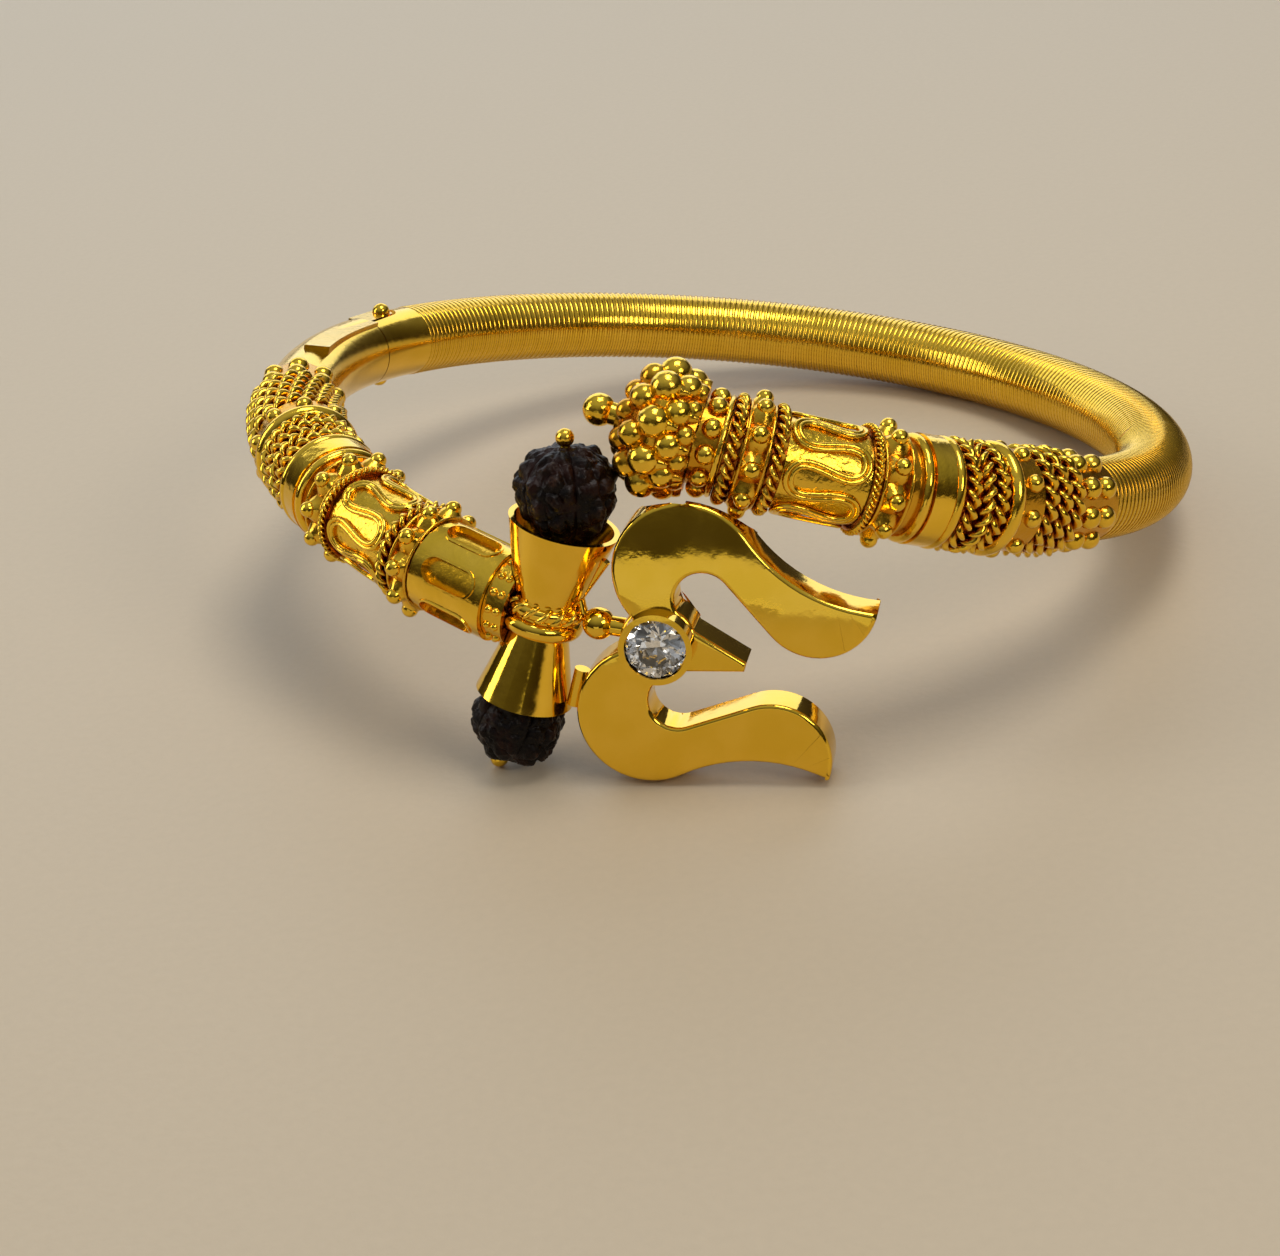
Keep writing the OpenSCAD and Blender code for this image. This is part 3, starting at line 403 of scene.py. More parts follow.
class Graph:
    """Lays nodes in a material and wires them up."""

    def __init__(self, name: str) -> None:
        """Start a material with a bare shader and its output.

        Args:
            name: Name of the material.
        """
        self.material = bpy.data.materials.new(name)
        self.material.use_nodes = True
        self.nodes = self.material.node_tree.nodes
        self.links = self.material.node_tree.links
        self.shader = self.nodes["Principled BSDF"]
        self.place = self.nodes.new("ShaderNodeTexCoord").outputs["Object"]

    def add(self, kind: str, inputs: Optional[dict] = None, **settings: object) -> bpy.types.Node:
        """Add a node.

        Args:
            kind: Type of the node without its ShaderNode prefix.
            inputs: Values or outputs for its sockets, by name or number.
            settings: Values of its own properties.

        Returns:
            The node.
        """
        node = self.nodes.new("ShaderNode" + kind)
        for key, value in settings.items():
            setattr(node, key, value)
        for key, value in (inputs or {}).items():
            self.feed(node.inputs[key], value)
        return node

    def feed(self, socket: bpy.types.NodeSocket, value: object) -> None:
        """Link an output to a socket, or set the socket's own value.

        Args:
            socket: The socket that is fed.
            value: Another node's output, or a plain value.
        """
        if isinstance(value, bpy.types.NodeSocket):
            self.links.new(value, socket)
        else:
            socket.default_value = value

    def math(self, operation: str, *values: object) -> bpy.types.NodeSocket:
        """Return the result of a sum on numbers or outputs."""
        node = self.add("Math", dict(enumerate(values)), operation=operation)
        return node.outputs[0]

    def length(self, one: object, other: object) -> bpy.types.NodeSocket:
        """Return the length of a line from its two measures at right angles."""
        return self.math("SQRT", self.math("ADD", self.math("MULTIPLY", one, one),
                                           self.math("MULTIPLY", other, other)))

    def noise(self, size: float, detail: float) -> bpy.types.NodeSocket:
        """Return a noise whose blotches are about a size in millimetres across."""
        return self.add("TexNoise", {"Vector": self.place, "Scale": 1 / (size * MM),
                                     "Detail": detail}).outputs[0]

    def between(self, value: object, low: float, high: float, to_low: float,
                to_high: float) -> bpy.types.NodeSocket:
        """Return a value mapped smoothly from one span to another, held at its ends."""
        return self.add("MapRange", {0: value, 1: low, 2: high, 3: to_low, 4: to_high},
                        interpolation_type="SMOOTHSTEP").outputs[0]

    def blend(self, factor: object, first: object, second: object) -> bpy.types.NodeSocket:
        """Mix two colours.

        Args:
            factor: Share of the second colour, from 0 to 1.
            first: The colour at 0.
            second: The colour at 1.

        Returns:
            The output with the mixed colour.
        """
        node = self.add("Mix", data_type="RGBA")
        self.feed(node.inputs[0], factor)
        self.feed(node.inputs[6], first)
        self.feed(node.inputs[7], second)
        return node.outputs[2]

    def bump(self, height: object, depth: float,
             normal: Optional[object] = None) -> bpy.types.NodeSocket:
        """Raise fine marks over a surface.

        Args:
            height: Height of the marks, from 0 to 1.
            depth: What a height of 1 stands for, in millimetres.
            normal: Normal of the surface under the marks, where it isn't the mesh's own.

        Returns:
            The output with the new normal.
        """
        inputs = {"Height": height, "Distance": depth * MM, "Strength": 1.0}
        if normal is not None:
            inputs["Normal"] = normal
        return self.add("Bump", inputs).outputs[0]

    def set(self, **sockets: object) -> None:
        """Feed the shader's sockets, with _ for a blank in a name."""
        for key, value in sockets.items():
            self.feed(self.shader.inputs[key.replace("_", " ")], value)


# The values between which a noise does most of its change
NOISE_SPAN = (0.35, 0.7)
# The painted shade, a deep red-brown, between the strands of a rope
ROPE_PAINTED_SHADE = (0.34, 0.09, 0.01)


def rgb(red: float, green: float, blue: float) -> tuple[float, float, float, float]:
    """Return a linear colour with full opacity."""
    return (red, green, blue, 1.0)


@dataclass(frozen=True)
class RecessShade:
    """How the colour of gold deepens towards an arm's core: painted shade in the hollows between
    the ornaments.

    Distances from the arm's centre line are in millimetres: at the low one the gold takes its deep
    colour of painted shade, at the high one it is bright.
    """

    arm: Arm
    low: float
    high: float

    def factor(self, graph: Graph) -> bpy.types.NodeSocket:
        """Return 0 at the recess's floor and 1 at the tips.

        Args:
            graph: The material to draw it in.

        Returns:
            The output that holds the share.
        """
        inverse = self.arm.circle().inverted()
        own = graph.add("Mapping", {"Vector": graph.place,
                                    "Location": inverse.to_translation() * MM,
                                    "Rotation": inverse.to_3x3().to_euler("XYZ")}).outputs[0]
        x, y, z = graph.add("SeparateXYZ", {0: own}).outputs
        outwards = graph.math("SUBTRACT", graph.length(x, y), self.arm.radius * MM)
        return graph.between(graph.length(outwards, z), self.low * MM, self.high * MM, 0.0, 1.0)


@dataclass(frozen=True)
class GrooveShade:
    """How the colour of gold deepens in grooves, from the heights kept in a mesh: painted shade
    between the turns of a wire.

    Heights run from 0 in the groove to 1 on the crest, and from the tip's height on the
    gold is bright.
    """

    heights: str
    tip: float = 0.8

    def factor(self, graph: Graph) -> bpy.types.NodeSocket:
        """Return 0 in the grooves and 1 on the crests."""
        height = graph.add("Attribute", attribute_name=self.heights).outputs["Fac"]
        return graph.between(height, 0.0, self.tip, 0.0, 1.0)


@dataclass(frozen=True)
class Gold:
    """High-karat gold: its colour, its polish, and the fine marks in it.

    The polish is the span of its roughness. Marks are so deep, and of such a size, in
    millimetres. Blotches of it are paler, by a factor and a little more. In a recess the gold
    is painted deep, as painted shade and the glow of light bounced between gold surfaces, and it is
    duller.
    """

    name: str
    colour: Triple = (0.9, 0.565, 0.045)
    # Painted shade: the deep colour in a recess, an orange gold for shade and for light bounced
    # between gold surfaces
    deep: Triple = (0.66, 0.32, 0.02)
    polish: tuple[float, float] = (0.08, 0.2)
    marks: float = 0.06
    mark_size: float = 0.6
    blotch_size: float = 2.6
    paler: tuple[float, float] = (1.04, 0.015)
    duller: float = 0.1
    recess: RecessShade | GrooveShade | None = None

    def material(self) -> bpy.types.Material:
        """Build the material.

        Returns:
            The finished material.
        """
        g = Graph(self.name)
        blotch = g.noise(self.blotch_size, 4.0)
        fine = g.noise(self.mark_size, 5.0)
        pale = tuple(min(1.0, c * self.paler[0] + self.paler[1]) for c in self.colour)
        colour = g.blend(g.between(blotch, *NOISE_SPAN, 0.0, 1.0), rgb(*self.colour), rgb(*pale))
        both = g.math("MULTIPLY_ADD", fine, 0.5, g.math("MULTIPLY", blotch, 0.5))
        rough = g.between(both, *NOISE_SPAN, *self.polish)
        # Painted shade: deepen the colour towards the recess's floor
        if self.recess is not None:
            share = self.recess.factor(g)
            colour = g.blend(share, rgb(*self.deep), colour)
            rough = g.math("MULTIPLY_ADD", g.math("SUBTRACT", 1.0, share), self.duller, rough)
        g.set(Base_Color=colour, Roughness=rough, Metallic=1.0,
              Normal=g.bump(fine, self.marks, self.swell(g)))
        return g.material

    def swell(self, graph: Graph) -> Optional[bpy.types.NodeSocket]:
        """Return the normal of a slow swell under the fine marks, or none."""
        return None


@dataclass(frozen=True)
class SwollenGold(Gold):
    """Gold plate that is polished slightly domed from a height over the floor upwards.

    The height is in millimetres, and the curve is the swell's bend in 1 over millimetres.
    """

    domed_from: float = 8.5
    curve: float = 0.022

    def swell(self, graph: Graph) -> Optional[bpy.types.NodeSocket]:
        """Lean the normal up more and more over the height where the dome starts.

        Args:
            graph: The material to draw it in.

        Returns:
            The output with the normal.
        """
        height = graph.add("SeparateXYZ", {0: graph.place}).outputs[2]
        over = graph.math("MAXIMUM", graph.math("SUBTRACT", height, self.domed_from * MM), 0.0)
        sag = graph.math("MULTIPLY", graph.math("MULTIPLY", over, over), -self.curve / 2 / MM)
        return graph.add("Bump", {"Height": sag, "Distance": 1.0, "Strength": 1.0}).outputs[0]


@dataclass(frozen=True)
class SeedShell:
    """The dark, veined shell of a rudraksha bead, with paler crests."""

    name: str
    dark: Triple = (0.0035, 0.0018, 0.0014)
    brown: Triple = (0.016, 0.0045, 0.0025)
    vein: Triple = (0.06, 0.027, 0.015)
    blotch_size: float = 1.6
    grain_size: float = 0.22
    grain: float = 0.05

    def material(self) -> bpy.types.Material:
        """Build the material.

        Returns:
            The finished material.
        """
        g = Graph(self.name)
        broad = g.noise(self.blotch_size, 5.0)
        fine = g.noise(self.grain_size, 6.0)
        height = g.add("Attribute", attribute_name="shell_height").outputs["Fac"]
        colour = g.blend(g.between(broad, 0.38, 0.62, 0.0, 1.0), rgb(*self.dark), rgb(*self.brown))
        crest = g.math("MULTIPLY", g.between(height, 0.55, 0.95, 0.0, 1.0),
                       g.between(fine, 0.42, 0.62, 0.1, 0.9))
        colour = g.blend(crest, colour, rgb(*self.vein))
        g.set(Base_Color=colour, Roughness=g.between(fine, 0.3, 0.7, 0.24, 0.45),
              Normal=g.bump(fine, self.grain))
        g.set(Specular_IOR_Level=0.12, Coat_Weight=0.03, Coat_Roughness=0.2)
        return g.material


@dataclass(frozen=True)
class ClearStone:
    """A clear, polished, faceted stone with hardly any haze in it."""

    name: str
    index: float = 2.2
    hazy: Triple = (0.96, 0.97, 0.99)
    clear: Triple = (0.99, 0.99, 1.0)
    haze_size: float = 0.5
    haze: float = 0.012

    def material(self) -> bpy.types.Material:
        """Build the material.

        Returns:
            The finished material.
        """
        g = Graph(self.name)
        haze = g.noise(self.haze_size, 3.0)
        colour = g.blend(g.between(haze, 0.4, 0.6, 0.0, 1.0), rgb(*self.hazy), rgb(*self.clear))
        g.set(Base_Color=colour, Roughness=g.between(haze, 0.4, 0.7, 0.0, self.haze))
        g.set(IOR=self.index, Transmission_Weight=1.0)
        return g.material


@dataclass(frozen=True)
class PaleFloor:
    """A plain pale sheet for the bangle to lie on, with a fine grain in millimetres."""

    name: str
    colour: Triple = (0.59, 0.49, 0.355)
    darker: float = 0.93
    roughness: float = 0.55
    grain_size: float = 0.7
    grain: float = 0.03

    def material(self) -> bpy.types.Material:
        """Build the material.

        Returns:
            The finished material.
        """
        g = Graph(self.name)
        grain = g.noise(self.grain_size, 4.0)
        dark = tuple(c * self.darker for c in self.colour)
        g.set(Base_Color=g.blend(grain, rgb(*dark), rgb(*self.colour)),
              Roughness=self.roughness, Normal=g.bump(grain, self.grain))
        return g.material


def dress(piece: bpy.types.Object, material: bpy.types.Material) -> None:
    """Give a piece one material all over.

    Args:
        piece: The object to dress.
        material: Its material.
    """
    if not piece.data.materials:
        piece.data.materials.append(material)
    for i in range(len(piece.data.materials)):
        piece.data.materials[i] = material


def hand_over(piece: bpy.types.Object, material: bpy.types.Material, body: Body,
              stands_for: str = "") -> None:
    """Dress a finished piece, hang it on the body that it moves with, and hide the solid that it
    replaces.

    Args:
        piece: The finished object.
        material: Its material.
        body: The body that it moves with.
        stands_for: Name of the solid that it replaces, if any.
    """
    dress(piece, material)
    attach(piece, body.value)
    if stands_for:
        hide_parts(stands_for)
    LOG.info("%s on %s, %d faces", piece.name, body.value, len(piece.data.polygons))


# Sub-assemblies


@dataclass
class WoundTube:
    """The tube of the bangle with fine wire wound closely round it, in millimetres.

    The wire's middle lies under the tube's surface, so that its crest stands out a little.
    The winding starts beside the right arm's first collar and ends before the hinge.
    """

    wire: float = 0.27
    pitch: float = 0.54
    sunk: float = 0.19
    sides: int = 8
    steps: int = 36
    smooth_end: float = 5.0
    gap: float = 0.05
    # Painted shade: the wire darkens to a deep colour in the grooves between its turns
    finish: Gold = Gold("gold wound wire", deep=(0.42, 0.2, 0.012), polish=(0.14, 0.24),
                        marks=0.006, mark_size=0.15, recess=GrooveShade("wire_height"))

    def first(self) -> float:
        """Return the station of the first turn, beside the right arm's first collar."""
        return RIGHT.start - self.gap - self.wire

    def length(self) -> float:
        """Return the wound length along the tube's centre line."""
        ring_part = math.radians(RING.left_end - RING.right_end) * RING.radius
        return self.first() + ring_part - self.smooth_end

    def on_tube(self, rows: np.ndarray) -> np.ndarray:
        """Lay straight rows along the tube, from the right arm's first collar to the hinge.

        Args:
            rows: Rows of x, y and z in millimetres, z along the tube.

        Returns:
            The rows over the floor, in metres, worn flat where they'd pass the solids' box.
        """
        station = self.first() - rows[:, 2]
        lean = np.where(station > 0, math.radians(RIGHT.tilt), 0.0)
        x = rows[:, 0] * np.cos(lean) + rows[:, 1] * np.sin(lean)
        y = rows[:, 1] * np.cos(lean) - rows[:, 0] * np.sin(lean)
        on_arm = RIGHT.bent(np.stack([x, y, station], axis=1), 0.0)
        angle = math.radians(RING.right_end) - station / RING.radius
        flat = round_z(RING.radius + rows[:, 0], angle, rows[:, 1])
        on_ring = moved(flat, RING.to_floor())
        rows = np.where((station > 0)[:, None], on_arm, on_ring) * MM
        return np.clip(rows, CAD_BOX[0], CAD_BOX[1])

    def build(self) -> None:
        """Wind the wire and lay it on the tube."""
        strand = Strand(self.wire, RING.tube - self.sunk, self.sides, self.steps)
        turns = self.length() / self.pitch
        winding = strand.twisted("winding", self.length(), turns, 1, upright=True)
        pick_parts(winding, "EDGE")
        bpy.ops.mesh.select_non_manifold()
        bpy.ops.mesh.fill_holes(sides=self.sides)
        put_down()
        rows = points_of(winding)
        # Heights of the wire over the tube, which the finish reads to paint shade into the grooves
        heights = (np.hypot(rows[:, 0], rows[:, 1]) - RING.tube) / (self.wire - self.sunk)
        put_points(winding, self.on_tube(rows))
        keep_heights(winding, "wire_height", heights)
        closed_up(winding, 1e-7)
        smoothed(winding, 80)
        hand_over(winding, self.finish.material(), Body.KADA)


@dataclass
class RopeRow:
    """One closed row of two-ply rope round an axis, in millimetres.

    A strand's radius and its distance from the rope's middle are shares of half the row's
    width. The hand is 1 or -1, the way in which the rope is twisted.
    """

    outside: float
    width: float
    bump_length: float = 0.8
    phase: float = 0.0
    hand: int = 1
    strand_share: float = 0.54
    apart_share: float = 0.5
    sides: int = 8
    steps: int = 16

    def build(self, name: str, place: Callable[[np.ndarray], np.ndarray]) -> bpy.types.Object:
        """Twist the rope straight, close it into a row and put it in its place.

        Args:
            name: Name of the row.
            place: Takes the row's points round z, in millimetres, to their place in metres.

        Returns:
            The closed row.
        """
        half = self.width / 2
        strand = Strand(half * self.strand_share, half * self.apart_share, self.sides, self.steps)
        radius = self.outside - half
        length = 2 * math.pi * radius
        row = strand.twisted(name, length, round(length / (2 * self.bump_length)), 2)
        points = points_of(row)
        angle = points[:, 2] / radius + self.phase
        put_points(row, place(round_z(radius + points[:, 0], angle, self.hand * points[:, 1])))
        closed_up(row, 2e-6)
        return row


@dataclass
class RopeBand:
    """Rows of rope laid side by side round an arm, over a thin sleeve, in millimetres.

    The tip is the rows' greatest distance from the arm's centre line. The sleeve lies a
    share of a row's width below it, and a rope's bump takes a share of that width too.
    """

    arm: Arm
    seat: Seat
    rows: int
    tip: float
    node: str
    body: Body
    braided: bool = False
    gap: float = 0.04
    bore: float = 2.3
    under_share: float = 0.62
    bump_share: float = 0.84
    turn_on: float = 0.4
    sides: int = 48

    def sleeve(self, length: float, radius: float) -> bpy.types.Object:
        """Make the sleeve under the rows from a cylinder with its ends set in and bridged.

        Args:
            length: Length of the sleeve in millimetres.
            radius: Its outer radius in millimetres.

        Returns:
            The straight sleeve, along z.
        """
        put_down()
        bpy.ops.mesh.primitive_cylinder_add(vertices=self.sides, radius=radius, depth=length)
        sleeve = bpy.context.active_object
        pick_parts(sleeve, "FACE", [f.index for f in sleeve.data.polygons if abs(f.normal.z) > 0.9])
        bpy.ops.mesh.inset(thickness=radius - self.bore, use_even_offset=False)
        bpy.ops.mesh.bridge_edge_loops()
        put_down()
        return sleeve

    def build(self, material: bpy.types.Material) -> None:
        """Build the band in place of its plain solid.

        Args:
            material: The finish of its ropes and its sleeve.
        """
        length = self.arm.lengths[self.seat] - self.gap
        middle = self.arm.middle_of(self.seat)
        pitch = length / self.rows
        sleeve = self.sleeve(length, self.tip - pitch * self.under_share)
        put_points(sleeve, self.arm.bent(points_of(sleeve), middle) * MM)
        ropes = []
        for i in range(self.rows):
            station = middle + (i - (self.rows - 1) / 2) * pitch
            row = RopeRow(self.tip, pitch, bump_length=self.bump_share * pitch,
                          phase=self.turn_on * i, hand=-1 if self.braided and i % 2 else 1)
            ropes.append(row.build(f"{self.node}_row{i}",
                                   lambda ring, at=station: self.arm.bent(ring, at) * MM))
        band = joined([sleeve] + ropes, "rope_" + self.node)
        smoothed(band, 60)
        hand_over(band, material, self.body, self.node)


@dataclass
class LoopingWire:
    """The wire laid in loops round a plain barrel, in millimetres and degrees.

    Two strands lie side by side along the loops. The bulge widens each loop towards its
    ends, as a share of the way from one loop to the next.
    """

    arm: Arm
    phase: float
    node: str
    body: Body
    wire: float = 0.3
    strand: float = 0.19
    apart: float = 0.34
    barrel: float = 3.2
    loops: int = 6
    steps: int = 48
    sides: int = 10
    lift: float = 0.02
    end_gap: float = 0.12
    bulge: float = 0.17
    ring: float = 10.0
    look_ahead: float = 0.01

    def line(self, t: np.ndarray) -> np.ndarray:
        """Return points of the wire's centre line on the straight barrel.

        Args:
            t: Angles in radians, a whole turn for each loop.

        Returns:
            Rows of x, y and z in millimetres.
        """
        lay = self.barrel + self.strand + self.lift
        reach = self.arm.lengths[Seat.BARREL] / 2 - self.wire - self.end_gap
        step = 2 * math.pi * lay / self.loops
        round_way = step * t / (2 * math.pi) + self.bulge * step * np.sin(2 * t)
        angle = round_way / lay + math.radians(self.phase)
        return round_z(lay, angle, reach * np.cos(t))

    def one_strand(self, shift_side: float) -> bpy.types.Object:
        """Draw one strand as a ring, lay it in its loops and bend it onto the arm.

        Args:
            shift_side: Distance of the strand from the wire's middle line.

        Returns:
            The strand in its place.
        """
        put_down()
        bpy.ops.mesh.primitive_torus_add(major_segments=self.loops * self.steps,
                                         minor_segments=self.sides, major_radius=self.ring,
                                         minor_radius=self.strand)
        strand = bpy.context.active_object
        points = points_of(strand)
        t = np.arctan2(points[:, 1], points[:, 0]) * self.loops
        out_way = np.hypot(points[:, 0], points[:, 1]) - self.ring + shift_side
        centre = self.line(t)
        ahead = unit(self.line(t + self.look_ahead) - self.line(t - self.look_ahead))
        away = unit(centre * [1.0, 1.0, 0.0])
        side = unit(np.cross(ahead, away))
        laid = centre + away * points[:, 2:] + side * out_way[:, None]
        put_points(strand, self.arm.bent(laid, self.arm.middle_of(Seat.BARREL)) * MM)
        closed_up(strand, 1e-7)
        return strand

    def build(self, material: bpy.types.Material) -> None:
        """Lay two strands side by side in place of the plain wire.

        Args:
            material: The finish of the wire.
        """
        strands = [self.one_strand(side * self.apart / 2) for side in (-1, 1)]
        wire = joined(strands, "looping_" + self.node)
        smoothed(wire, 80)
        hand_over(wire, material, self.body, self.node)


@dataclass
class ArmWork:
    """The ropes and the looping wire of one arm, in millimetres and degrees.

    The rows are counted in its two wide bands, the second of which is braided, and the
    phase turns the wire's loops round the barrel.
    """

    side: str
    arm: Arm
    body: Body
    rows: tuple[int, int]
    phase: float
    band_tip: float = 4.05
    ring_tip: float = 3.95

    def build(self) -> None:
        """Build the ropes along the arm, and then the wire."""
        # Painted shade: the rope's colour deepens to red-brown between its strands
        rope = Gold(f"gold rope {self.side}", deep=ROPE_PAINTED_SHADE, marks=0.012,
                    recess=RecessShade(self.arm, 3.45, 3.9)).material()
        bands = {Seat.ROPE_BAND_A: self.rows[0], Seat.ROPE_BAND_B: self.rows[1],
                 Seat.ROPE_RING_A: 1, Seat.ROPE_RING_B: 1}
        if self.arm is RIGHT:
            bands[Seat.ROPE_RING_C] = 1
        for seat, rows in bands.items():
            tip = self.ring_tip if rows == 1 else self.band_tip
            RopeBand(self.arm, seat, rows, tip, f"{self.side}_{seat.name.lower()}", self.body,
                     braided=seat is Seat.ROPE_BAND_B).build(rope)
        wire = Gold(f"gold looping wire {self.side}").material()
        LoopingWire(self.arm, self.phase, f"{self.side}_wave_wire", self.body).build(wire)


@dataclass(frozen=True)
class Cup:
    """One cup of the drum and the bead that sits on its rim, in millimetres and degrees.

    The way is 1 for the cup over the waist and -1 for the one under it. The bead leans by
    an angle, and stands back from the drum's axis.
    """

    way: int
    height: float
    mouth: float
    bead: float
    lean: float
    back: float = 0.0


@dataclass
class Damru:
    """The hourglass drum on the left arm: its two cups, and the rope at its waist."""

    station: float = 59.4
    top: Cup = Cup(way=1, height=6.8, mouth=3.95, bead=3.85, lean=16.0, back=0.3)
    bottom: Cup = Cup(way=-1, height=6.5, mouth=3.5, bead=3.6, lean=168.0)
    wall: float = 0.4
    gap: float = 0.06
    waist: float = 2.98
    rope_width: float = 1.28
    rope_over: float = 0.02
    rope_bump: float = 0.9

    def build(self, material: bpy.types.Material) -> None:
        """Lay the rope ring over its plain core at the waist.

        Args:
            material: The finish of the rope.
        """
        place = LEFT.at(self.station) @ shift(0, 0, self.rope_width / 2)
        row = RopeRow(self.waist + self.rope_over, self.rope_width, bump_length=self.rope_bump)
        rope = row.build("damru_waist_rope", lambda ring: moved(ring, place) * MM)
        smoothed(rope, 60)
        hand_over(rope, material, Body.SWING_ARM)

    def bead_place(self, cup: Cup) -> Matrix:
        """Work out where a cup's bead sits.

        Args:
            cup: The cup.

        Returns:
            The frame of the bead, in millimetres over the floor.
        """
        rim = cup.mouth - self.wall - self.gap - cup.back
        height = cup.height + math.sqrt(cup.bead ** 2 - rim ** 2)
        return (LEFT.at(self.station) @ shift(0, -cup.back, cup.way * height)
                @ turn(cup.lean, "X"))


@dataclass
class Rudraksha:
    """A rudraksha: a drilled bead with five deep clefts and warty ridges.

    The radius and the hole are in millimetres. Clefts and warts go a share of the radius
    deep, and the free half swells by a share of it. Warts are counted along a radius. The
    larger the shoulder, the nearer to the holes the clefts run out. A slope is how fast a
    wart's foot or dome falls, and an edge how sharply a form ends.
    """

    node: str
    radius: float
    place: Matrix
    seed: float
    groove: float = 0.15
    cleft: float = 1.3
    swelling: float = 0.05
    least: float = 0.15
    warts: float = 2.5
    foot_slope: float = 2.2
    foot_edge: float = 0.7
    dome_slope: float = 0.9
    dome_edge: float = 0.5
    veins: float = 2.6
    vein_edge: int = 4
    vein_share: float = 0.2
    flat_pole: float = 0.4
    free_from: float = -0.1
    free_over: float = 0.4
    hole: float = 0.4
    shoulder: float = 6.0
    around: int = 200
    stacks: int = 110
    lobes: int = 5

    def form(self, rows: np.ndarray) -> tuple[np.ndarray, np.ndarray]:
        """Turn a round bead into a warty one.

        Args:
            rows: Points on a ball of radius 1.

        Returns:
            The new points in millimetres, and the height of each from 0 to 1.
        """
        polar = np.arccos(np.clip(rows[:, 2], -1, 1))
        azimuth = np.arctan2(rows[:, 1], rows[:, 0])
        lobe = np.sqrt(np.abs(np.cos(self.lobes / 2 * azimuth)))
        round_out = np.sin(polar) ** self.flat_pole
        warts = np.array([self.wart(Vector(p)) for p in rows])
        bump = round_out * lobe * (self.least + (1 - self.least) * warts)
        free = np.clip((rows[:, 2] - self.free_from) / self.free_over, 0, 1)
        depth = self.groove * self.cleft * (1 - bump)
        radius = self.radius * (1 + self.swelling * free - depth)
        clear = np.clip((np.sin(polar) - self.hole / self.radius) * self.shoulder, 0, 1)
        radius = radius * clear + self.radius * (1 - self.groove) * (1 - clear)
        return rows * radius[:, None], bump

    def wart(self, point: Vector) -> float:
        """Work out the height of the shell's warts and veins in one direction.

        Args:
            point: The direction, as a point on a ball of radius 1.

        Returns:
            The height, from 0 to 1.
        """
        at = point * self.warts + Vector((self.seed, 0.0, 0.0))
        nearest, next_one = noise.voronoi(at)[0][:2]
        foot = min(1.0, self.foot_slope * (next_one - nearest)) ** self.foot_edge
        dome = max(0.0, 1 - self.dome_slope * nearest) ** self.dome_edge
        vein = (1 - abs(noise.noise(at * self.veins))) ** self.vein_edge
        return min(1.0, (1 - self.vein_share) * foot * dome + self.vein_share * vein)

    def build(self, material: bpy.types.Material) -> None:
        """Build the bead in place of its plain solid.

        Args:
            material: The finish of the shell, which reads shell_height.
        """
        put_down()
        bpy.ops.mesh.primitive_uv_sphere_add(segments=self.around, ring_count=self.stacks,
                                             radius=1.0)
        bead = bpy.context.active_object
        bead.name = bead.data.name = self.node + "_shell"
        pole = math.asin(self.hole / self.radius / (1 - self.groove))
        end = math.cos(pole)
        pick_parts(bead, "FACE", [f.index for f in bead.data.polygons if abs(f.center.z) > end])
        bpy.ops.mesh.delete(type="FACE")
        bpy.ops.mesh.select_mode(type="EDGE")
        bpy.ops.mesh.select_non_manifold()
        bpy.ops.mesh.bridge_edge_loops()
        put_down()
        points, heights = self.form(points_of(bead))
        put_points(bead, moved(points, self.place) * MM)
        keep_heights(bead, "shell_height", heights)
        smoothed(bead, 60)
        hand_over(bead, material, Body.SWING_ARM, self.node)


@dataclass
class TridentPlate:
    """The trident with its plate's edges rounded, made from a copy of its solid.

    Sizes are in millimetres: the plate's station on the left arm, half its thickness, and
    how far its edges are rounded. A face is broad or a side by its slope to the plate.
    """

    node: str = "trident"
    station: float = 68.0
    half: float = 1.55
    slack: float = 0.05
    rounding: float = 0.3
    segments: int = 3
    broad_slope: float = 0.99
    side_slope: float = 0.3

    def outline(self, plate: bpy.types.Object) -> list[int]:
        """Find the edges round the plate's two faces, without its fillets.

        Args:
            plate: The merged copy of the solid.

        Returns:
            The numbers of the edges.
        """
        frame_at = LEFT.at(self.station)
        facing = frame_at.to_3x3() @ Vector((1, 0, 0))
        start = frame_at.translation * MM
        beside: dict[tuple[int, int], list[bpy.types.MeshPolygon]] = {}
        for face in plate.data.polygons:
            for key in face.edge_keys:
                beside.setdefault(key, []).append(face)
        found = []
        for edge in plate.data.edges:
            pair = beside.get(edge.key, [])
            if len(pair) != 2:
                continue
            broad, side = sorted(pair, key=lambda face: -abs(face.normal @ facing))
            depth = abs((broad.center - start) @ facing)
            level = abs(depth - self.half * MM) < self.slack * MM
            outward = (side.center - broad.center) @ broad.normal < 0
            square = (abs(broad.normal @ facing) > self.broad_slope
                      and abs(side.normal @ facing) < self.side_slope)
            if square and level and outward:
                found.append(edge.index)
        return found

    def build(self, solid: bpy.types.Object, material: bpy.types.Material) -> None:
        """Copy the solid, merge it, round its outline and hand it over.

        Args:
            solid: The trident's solid, which is left alone.
            material: The finish of the plate.
        """
        put_down()
        plate = in_scene("trident_plate", solid.data.copy())
        plate.data.name = plate.name
        closed_up(plate, 1e-6)
        pick_up(plate)
        bpy.ops.mesh.customdata_custom_splitnormals_clear()
        pick_parts(plate, "EDGE", self.outline(plate))
        bpy.ops.mesh.bevel(offset=self.rounding * MM, segments=self.segments,
                           affect="EDGES", clamp_overlap=False)
        put_down()
        smoothed(plate, 40)
        weights = plate.modifiers.new("weights", "WEIGHTED_NORMAL")
        weights.keep_sharp = True
        apply_all(plate)
        put_down()
        hand_over(plate, material, Body.SWING_ARM, self.node)


# Dressing the solids


